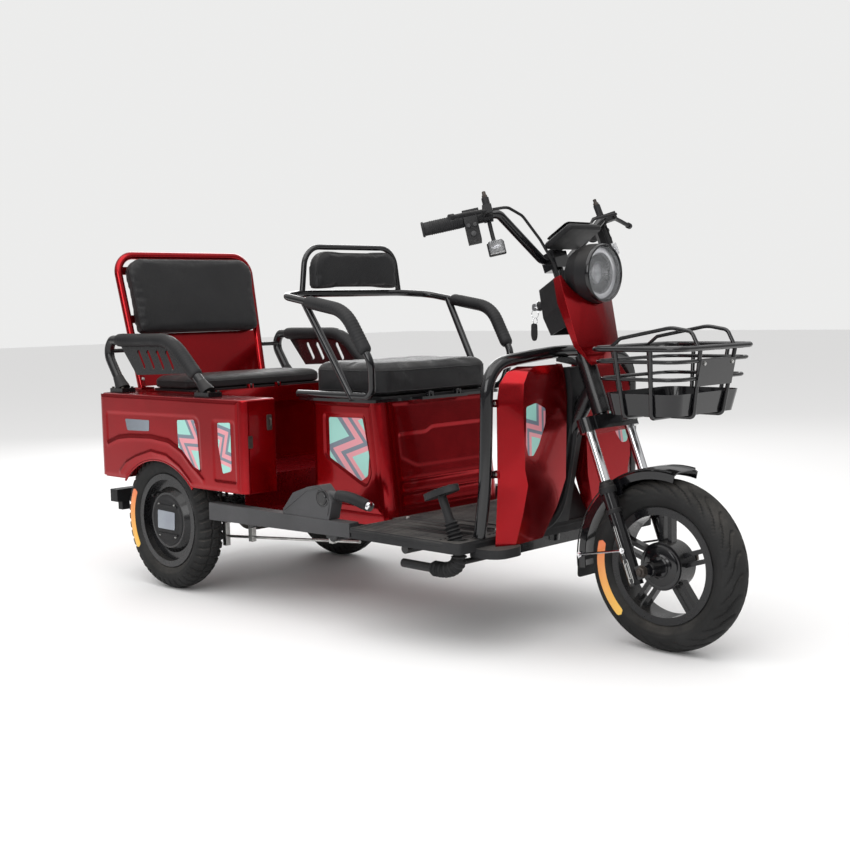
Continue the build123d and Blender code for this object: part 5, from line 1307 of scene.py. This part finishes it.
def fin_ring(count, inner, outer, x_low, x_high, thick):
    """Boxes spaced round the lamp's axis: eight corner points in (radius, side, depth), turned."""
    r = np.array([inner, outer, outer, inner] * 2, float)
    s = np.array([-1, -1, 1, 1] * 2) * thick / 2
    x = np.repeat([x_low, x_high], 4).astype(float)
    angle = np.linspace(0, 2 * np.pi, count, endpoint=False)[:, None]
    y = r * np.cos(angle) - s * np.sin(angle)
    z = r * np.sin(angle) + s * np.cos(angle)
    points = np.stack([np.broadcast_to(x, y.shape), y, z], -1).reshape(-1, 3) + LAMP
    fin = [[3, 2, 1, 0], [4, 5, 6, 7], [0, 1, 5, 4], [1, 2, 6, 5], [2, 3, 7, 6], [3, 0, 4, 7]]
    return boxes(points, fin, count)


piece("lamp_fins", fin_ring(36, 30, 46, 660, 672, 2.6), FORK, "gloss_black")
LAMP_PIECES = [
    ("lamp_light_ring", [(662, 50), (675, 50.5), (676, 53), (676, 62), (672, 65), (660, 65)], 72,
     "bowl", "lamp_grey", 35),
    ("lamp_bowl", [(660, 50), (656, 42), (650, 30), (640, 22), (632, 12), (630, 0)], 72,
     "bowl", "lamp_grey", 35),
    ("lamp_projector", [(640, 24), (660, 25), (664, 23), (667, 18), (669, 11), (670, 0)], 48,
     "lens_clear", "lamp_glass", 35),
    ("lamp_collar", [(652, 29.5), (666, 29.5), (666, 26), (652, 26)], 48, "chrome", "lamp_grey", 35),
    ("lamp_bezel", [(668, 70.5), (686, 71.5), (690, 69.5), (690.5, 66), (688.5, 64.5)], 96,
     "gloss_black", "black_plastic", 50),
]
for name, profile, sides, paint, slot, edge in LAMP_PIECES:
    solid = name == "lamp_projector"
    shape = turned(profile, LAMP, (1, 0, 0), sides, caps=solid)
    piece(name, shape, FORK, paint, edge, sheet=not solid)

# %% [markdown]
# ## Direction lamps and dash
# Each lamp is a black shell on a short stalk with a clear lens over a pale bulb. They stand for the
# frame's plain blocks. The dash gets a dark glass face with a margin all round.

# %% Lamps on stalks
def grip_slab(outline, low, high):
    """An outline in (ahead, out), between two heights above the grip's line."""
    rows = np.array([(a, 0.0, o) for a, o in outline])
    return prism(on_grip(rows + [0, low, 0]), on_grip(rows + [0, high, 0]))


stalk = tube(on_grip([(0, -17.5, 25), (0, -50, 25), (0, -80, 24)]), 5.0, 14)
shell = grip_slab(rounded([(-13, 1), (-1, 1), (-1, 43), (-13, 43)], 5), -100.5, -68.5)
lamp_lens = grip_slab(rounded([(-1.5, 2), (14, 6), (14, 38), (-1.5, 42)], 5), -99.5, -69.5)
signals = both(join(stalk, shell))
stalks = piece("signal_stalks", signals, FORK, "satin_plastic", bevel=1.5)
piece("signal_lenses", both(lamp_lens), FORK, "lens_clear", bevel=1.5)
bulb = tube(on_grip([(2, -84, 12), (4, -84, 18), (4, -84, 26), (2, -84, 32)]), [3, 6, 6, 3], 14)
piece("signal_bulbs", both(bulb), FORK, "bowl")
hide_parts("turn_signals")

DASH_U = np.array([math.cos(math.radians(31)), 0, math.sin(math.radians(31))])
DASH_N = np.array([-DASH_U[2], 0, DASH_U[0]])
DASH = np.array([588.0, 0, 1003.0])
glass = slab(oblong(39, 55, 12), DASH + DASH_N * 8.2, DASH_U, (0, 1, 0), 1.4)
piece("dash_glass", glass, FORK, "gloss_black", bevel=0.5)
under = slab(oblong(36, 50, 10), DASH - DASH_N * 9.6, DASH_U, (0, 1, 0), 1.2)
piece("dash_underside", under, FORK, "blank", bevel=0.5)

# %% [markdown]
# ## Grips, switches and key
# A grip is a rubber sleeve with rings for the fingers and a flange at its end. The profile is a
# radius that changes along the grip, turned about it. The key hangs from its lock with two rings and
# a plain fob.

# %% Grips
along = np.linspace(86, 180, 95)
ringed = smooth(along, 92, 94) * (1 - smooth(along, 168, 170))
rings = 16.2 + 0.9 * (np.cos(2 * np.pi * (along - 86) / 5.2) > 0.2) * ringed
profile = [(84, 0), (84, 14), *zip(along, rings), (181, 18.5), (184.5, 18.5), (186, 17), (186, 0)]
grip = turned(profile, BAR_BEND, GRIP_OUT, 32)
grips = piece("finger_grips", both(grip), FORK, "grip", edge=40)
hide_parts("grips")
buttons = []
for ahead, above, out, size in ((15, -22, 60, 5.0), (15, -22, 76, 5.0), (15, -44, 68, 6.5)):
    place = on_grip([(ahead + 2.2, above, out)])[0]
    buttons.append(turned([(0, size), (2.4, size), (3.2, size * 0.8), (3.2, 0)], place, GRIP_AHEAD, 20))
piece("switch_buttons", both(join(*buttons)), FORK, "grey_plastic")
boss, pivot = on_grip([(3, 43, 22), (34, 4.5, 24)])
nuts = [turned([(0, 7.5), (6, 7.5), (7.5, 6), (7.5, 0)], boss, GRIP_ABOVE, 6),
        turned([(7.5, 4.6), (16, 4.6), (17, 3.6), (17, 0)], boss, GRIP_ABOVE, 16),
        turned([(0, 5.5), (4, 5.5), (5, 4), (5, 0)], pivot, GRIP_ABOVE, 6)]
piece("perch_nuts", both(join(*nuts)), FORK, "iron", edge=25)

# %% Key and fob
LOCK, LOCK_ROOT = on_fork([(-62, -34, 906), (-43, -32, 903)])
LOCK_OUT = (LOCK - LOCK_ROOT) / np.linalg.norm(LOCK - LOCK_ROOT)
face = turned([(0, 12.5), (3, 12.5), (4, 11), (4, 0)], LOCK, LOCK_OUT, 24)
piece("lock_face", face, FORK, "chrome")
hang = LOCK + LOCK_OUT * 14
key_head = slab(oblong(9, 9, 7), hang + [0, -1.2, 0], (1, 0, 0), (0, 0, -1), 2.4)
shank = tube([LOCK + LOCK_OUT * 3, LOCK + LOCK_OUT * 6, hang], 2.0, 8)
turn = np.linspace(0, 2 * np.pi, 40, endpoint=False)
hoop = np.stack([11 * np.cos(turn), 0 * turn, 11 * np.sin(turn)], 1)
side_hoop = np.stack([0 * turn, 8 * np.cos(turn), 8 * np.sin(turn)], 1)
key_rings = join(tube(hoop + hang + [0, 0, -16], 1.1, 8, closed=True),
                 tube(side_hoop + hang + [0, 0, -34], 1.0, 8, closed=True))
piece("key_and_rings", join(key_head, shank, key_rings), FORK, "chrome", edge=40)
tag = rounded([(-9, 0), (9, 0), (10, -30), (6, -44), (-6, -44), (-10, -30)], 6)
fob = slab(tag, hang + [0, -2.0, -40], (1, 0, 0), (0, 0, 1), 4.0)
piece("key_fob", fob, FORK, "vinyl", bevel=1.0)

# %% [markdown]
# ## Floor ribs, pedal and parking lever
# The rubber floor has lengthwise ribs for grip and a rolled lip. The brake pedal wears a ribbed pad
# and a folded boot that keeps grit out of its slot. The parking lever has a ribbed sleeve, a bright
# tip and a round pivot cap.

# %% Floor ribs
def bars_along(x_low, x_high, y_middles, z, wide, high):
    """Trapezoid bars: a wide foot and a narrower top, copied to every place across the floor."""
    half = np.array([-1, -0.6, 0.6, 1]) * wide / 2
    rise = np.array([0, high, high, 0.0])
    y = y_middles[:, None, None] + half
    x = np.array([x_low, x_high])[None, :, None]
    points = np.stack(np.broadcast_arrays(x, y, z + rise), -1).reshape(-1, 3)
    bar = [[0, 4, 5, 1], [1, 5, 6, 2], [2, 6, 7, 3], [3, 7, 4, 0], [0, 1, 2, 3], [7, 6, 5, 4]]
    return boxes(points, bar, len(y_middles))


FLOOR_TOP, RIB_WIDTH, RIB_HEIGHT = 278.0, 8.0, 2.0
rows = np.arange(-372, 373, 15.5)
ribs = bars_along(176, 474, rows, FLOOR_TOP, RIB_WIDTH, RIB_HEIGHT)
middle_rows = rows[(np.abs(rows) > 132) & (rows > -320)]
ahead_ribs = bars_along(474, 520, middle_rows, FLOOR_TOP, RIB_WIDTH, RIB_HEIGHT)
piece("floor_ribs", join(ribs, ahead_ribs), CHASSIS, "mat", edge=20)
lip_corners = [(168, -379, 270), (537, -379, 270), (537, 379, 270), (168, 379, 270)]
lip_path = rounded(lip_corners, 60, 12, closed=False)
piece("floor_lip", tube(lip_path, 9.0, 14), CHASSIS, "mat", edge=60)

# %% Pedal pad and boot
TILT = math.radians(20)
PAD_U = np.array([math.cos(TILT), 0, math.sin(TILT)])
PAD_N = np.array([-math.sin(TILT), 0, math.cos(TILT)])
PAD = np.array([461.0, -350.0, 381.0])
pad_ribs = []
for at in np.linspace(-42, 42, 8):
    reach = 28 * math.sqrt(1 - (at / 54) ** 2)
    bar = rounded([(at - 3, -reach), (at + 3, -reach), (at + 3, reach), (at - 3, reach)], 3)
    pad_ribs.append(slab(bar, PAD + PAD_N * 13.8, PAD_U, (0, 1, 0), 3.0))
piece("pedal_pad_ribs", join(*pad_ribs), CHASSIS, "mat", bevel=0.7)
boot_route = [(484, -350, 324), (503, -350, 282), (517, -350, 226), (480, -350, 200), (420, -350, 200.5)]
path, at = even_path(boot_route, 30, 1.6)
folds = 16.6 + 3.0 * np.cos(2 * np.pi * at / 9.0)
taper = smooth(at, 0, 14) * (1 - smooth(at, at[-1] - 10, at[-1]))
boot = tube(path, 12.4 + (folds - 12.4) * taper, 24)
piece("pedal_boot", boot, CHASSIS, "grip", edge=70)

# %% Parking lever
path, at = even_path([(104, -365, 352), (150, -365, 351), (215, -365, 335.2)], 40, 2.0)
sleeve_size = 14.2 + 0.8 * np.cos(2 * np.pi * at / 7.0) * (at > 12) * (at < at[-1] - 12)
lever_dir = np.array([74.0, 0, -18.0]) / math.hypot(74, 18)
piece("parking_grip", tube(path, sleeve_size, 20), CHASSIS, "grip", edge=60)
tip = turned([(0, 0), (0, 12.2), (3, 13), (9, 12), (12, 8), (13, 0)], (216, -365, 335), lever_dir, 28)
piece("parking_tip", tip, CHASSIS, "chrome")
cap = turned([(0, 0), (0, 19), (3, 18), (4, 15), (5, 14), (5, 0)], (62, -383, 344), (0, -1, 0), 36)
spring_ring = turned([(0, 24), (1.5, 24), (1.5, 21), (0, 21)], (62, -383.6, 344), (0, -1, 0), 36)
piece("parking_cap", join(cap, spring_ring), CHASSIS, "gloss_black", edge=30)
seam_line = [(x, -384.4, z) for x, z in ((-92, 300), (6, 362), (52, 371), (90, 334), (80, 300))]
seam = tube(rounded(seam_line, 14, 6, closed=False), 1.6, 8)
piece("parking_seam", seam, CHASSIS, "grey_plastic")

# %% [markdown]
# ## Fork dress
# Above each leg is a collar with a dust seal. Bright stay rods with eyelets carry the mudguard, a
# rubber flap hangs from its end, and hexagonal nuts close the spindle. Thin white film lines run
# down the legs.

# %% Collars, stays, flap, nuts
RIGHT_WAY = (0, -1, 0)
LEG_AHEAD, LEG_SIDE, LEG_RADIUS = 9, -81, 17.15
high_seal, low_seal = on_fork([(LEG_AHEAD, LEG_SIDE, 402), (LEG_AHEAD, LEG_SIDE, 352)])
dust_seal = [(0, 17.2), (0, 20.5), (3, 21.5), (14, 21.5), (16, 19), (22, 18), (24, 15.5), (30, 14.4),
             (30, 12.6)]
clamp = [(0, 17.2), (0, 19.6), (2, 20.2), (9, 20.2), (11, 19), (11, 17.2)]
seals = join(turned(dust_seal, high_seal, FORK_UP, 36), turned(clamp, low_seal, FORK_UP, 36))
piece("fork_seals", both(seals), FORK, "satin_plastic", edge=30)
stay_ends = [np.array([642.0, -53.0, 214.0]), on_fork([(14, -104.5, 262)])[0]]
stay = tube([stay_ends[0], sum(stay_ends) / 2, stay_ends[1]], 2.7, 10)
eyes = [turned([(-1.6, 7), (1.6, 7), (1.6, 0)], end, RIGHT_WAY, 20) for end in stay_ends]
eye_bolts = bolts([(end + [0, -1.6, 0], RIGHT_WAY) for end in stay_ends], 4.2)
stays = both(join(stay, *eyes, eye_bolts))
piece("mudguard_stays", stays, FORK, "chrome", edge=30)
flap = rounded([(-47, 0), (47, 0), (43, -52), (-43, -52)], 12)
flap = slab(flap, (631.5, 0, 204), (0, 1, 0), (0.10, 0, 0.995), 3.0)
piece("mudguard_flap", flap, FORK, "mat", bevel=0.8)
rim_angle = np.radians(np.linspace(79, 186, 90))
BEAD_RADIUS = 236.5 * 0.985
rolled = np.stack([BEAD_RADIUS * np.cos(rim_angle), np.full(90, -49.2), BEAD_RADIUS * np.sin(rim_angle)], 1)
bead = both(tube(rolled + AXLE_FRONT, 2.0, 8))
piece("mudguard_beads", bead, FORK, "gloss_black", edge=70)
spindle_end = AXLE_FRONT + [0, -104, 0]
axle_nut = [(0, 15), (2, 15), (2, 12.5), (12, 12.5), (13.5, 10.5), (13.5, 0)]
thread_end = [(13, 6.5), (18, 6.5), (19, 5.5), (19, 0)]
nuts = join(turned(axle_nut, spindle_end, RIGHT_WAY, 6), turned(thread_end, spindle_end, RIGHT_WAY, 20))
piece("spindle_nuts", both(nuts), FORK, "iron", edge=25)


def on_leg(ahead, along):
    """A place on the outer side of the right leg: its round face at this distance ahead of its middle."""
    out = math.sqrt(LEG_RADIUS**2 - ahead**2)
    return on_fork([(LEG_AHEAD + ahead, LEG_SIDE - out, along)])[0]


lines = [tube([on_leg(a, s) for s in (322, 300, 275, 250)], 0.55, 6) for a in (-2.5, 2.5)]
capsule = [on_leg(a, s) for a, s in ((-6, 240), (6, 240), (6, 182), (-6, 182))]
lines.append(tube(rounded(capsule, 5, 6), 0.7, 6, closed=True))
bar_marks = [on_leg(a, s) for a, s in ((-3, 230), (3, 230), (3, 194), (-3, 194))]
lines.append(tube(rounded(bar_marks, 2, 4), 0.6, 6, closed=True))
piece("fork_lines", both(join(*lines)), FORK, "white_film", edge=70)

# %% [markdown]
# ## Leg shields and guard
# Each shield has a film patch on its inner facet, and the guard hoop wears a thick gloss coat. The
# pressed facets come from the frame, so the patch is placed on the facet's own plane.

# %% Shield film and guard coat
facet_u = np.array([-10.0, 176.0, 0]) / math.hypot(10, 176)
outline = np.array([(y + 216, z) for y, z in SHIELD_FILM])
for flip, name in ((1, "right"), (-1, "left")):
    patch("shield_film_" + name, outline * [flip, 1], 0.5, (606, -216 * flip, 0), facet_u * [flip, 1, 1],
          (0, 0, 1), "film", 0.9)
half = [(534, -300, 281), (550, -294, 400), (556, -287, 691.8), (556, -130, 705.8), (556, 0, 714.8)]
route = np.array(half + [(x, -y, z) for x, y, z in half[-2::-1]], float)
bend = np.array([1, 100, 78, 90, 120, 90, 78, 100, 1.0])
path = rounded(route, bend, 14, closed=False)
piece("guard_coat", tube(path, 15.6, 24), CHASSIS, "gloss_black", edge=70)
guard_bolts = [((559.5, side * 265, z), (1, 0, 0)) for side in (-1, 1) for z in (430, 600)]
piece("guard_bolts", bolts(guard_bolts, 4.5), CHASSIS, "zinc", edge=25)

# %% [markdown]
# ## Feet, bolts and small fittings
# Each arm tube ends in a tapered casting, bolted through the sheet. The basket's blank plate has four
# bolts, and a latch sits on each side box. A bolt is a washer, a head and its chamfer, and one
# function makes them all.

# %% Arm feet
def foot_boot(start, toward):
    """A cone that narrows from its plate to the 30 mm tube, along the tube's own direction."""
    run = np.asarray(toward, float) - np.asarray(start, float)
    return turned([(-4, 0), (-4, 23), (6, 22), (22, 18.4), (40, 16), (41, 14)], start, run, 28)


boots = [foot_boot((-925, -340, 600), (-1004, -340, 712)), foot_boot((-478, -340, 600), (-650, -340, 749))]
piece("rear_arm_feet", both(join(*boots)), CHASSIS, "satin_plastic", edge=40)
feet = [((x + dx, -340 + dy, 600), (0, 0, 1)) for x in (-925, -478) for dx in (-27, 27) for dy in (-17, 17)]
piece("rear_arm_bolts", both(bolts(feet, 4.6)), CHASSIS, "iron", edge=25)
plate_out = np.array([61.0, 0.0, -16.7]) / math.hypot(61, 16.7)
marks = [((1003.5 if z > 670 else 990.0, y, z), plate_out) for y in (-58, 58) for z in (649, 692)]
piece("basket_plate_bolts", bolts(marks, 4.5), FORK, "zinc", edge=25)
edge_bolts = [((x, y, FLOOR_TOP), (0, 0, 1)) for x in (190, 500) for y in (-200, 200)]
piece("floor_screws", bolts(edge_bolts, 5.5), CHASSIS, "zinc", edge=25)
latch_plate = oblong(9, 22, 4)
latches = [slab(latch_plate, (-252.2, -300, 520), (0, 1, 0), (0, 0, 1), 2.6),
           slab(latch_plate * 0.8, (-252.2, -368, 470), (0, 1, 0), (0, 0, 1), 2.6),
           tube([(-248, -300, 532), (-243, -300, 528), (-243, -300, 514), (-248, -300, 508)], 2.4, 10)]
piece("pod_latches", both(join(*latches)), CHASSIS, "iron", bevel=0.5)
back_bolts = [(on_lean([(side * 246, 30, 13)])[0], LEAN_OUT) for side in (-1, 1)]
piece("backrest_bolts", bolts(back_bolts, 5.0), CHASSIS, "zinc", edge=25)

# %% Bumper ends, lamp frames and spring clips
frames_out = []
for side in (-1, 1):
    ring = rounded([(side * 302, 380), (side * 372, 380), (side * 372, 560), (side * 302, 560)], 8)
    frames_out.append(tube([(-985, y, z) for y, z in ring], 3.0, 8, closed=True))
    frames_out += [tube([(-987, side * 303, z), (-987, side * 371, z)], 1.6, 8) for z in (500, 440)]
piece("tail_lamp_frames", join(*frames_out), CHASSIS, "satin_plastic", edge=60)
clips = []
for x in (-700, -658):
    u_bolt = [(x, -176, 296), (x, -176, 178), (x, -122, 178), (x, -122, 296)]
    clips.append(tube(rounded(u_bolt, 20, 8, closed=False), 5, 10))
piece("spring_clips", both(join(*clips)), CHASSIS, "iron", edge=60)
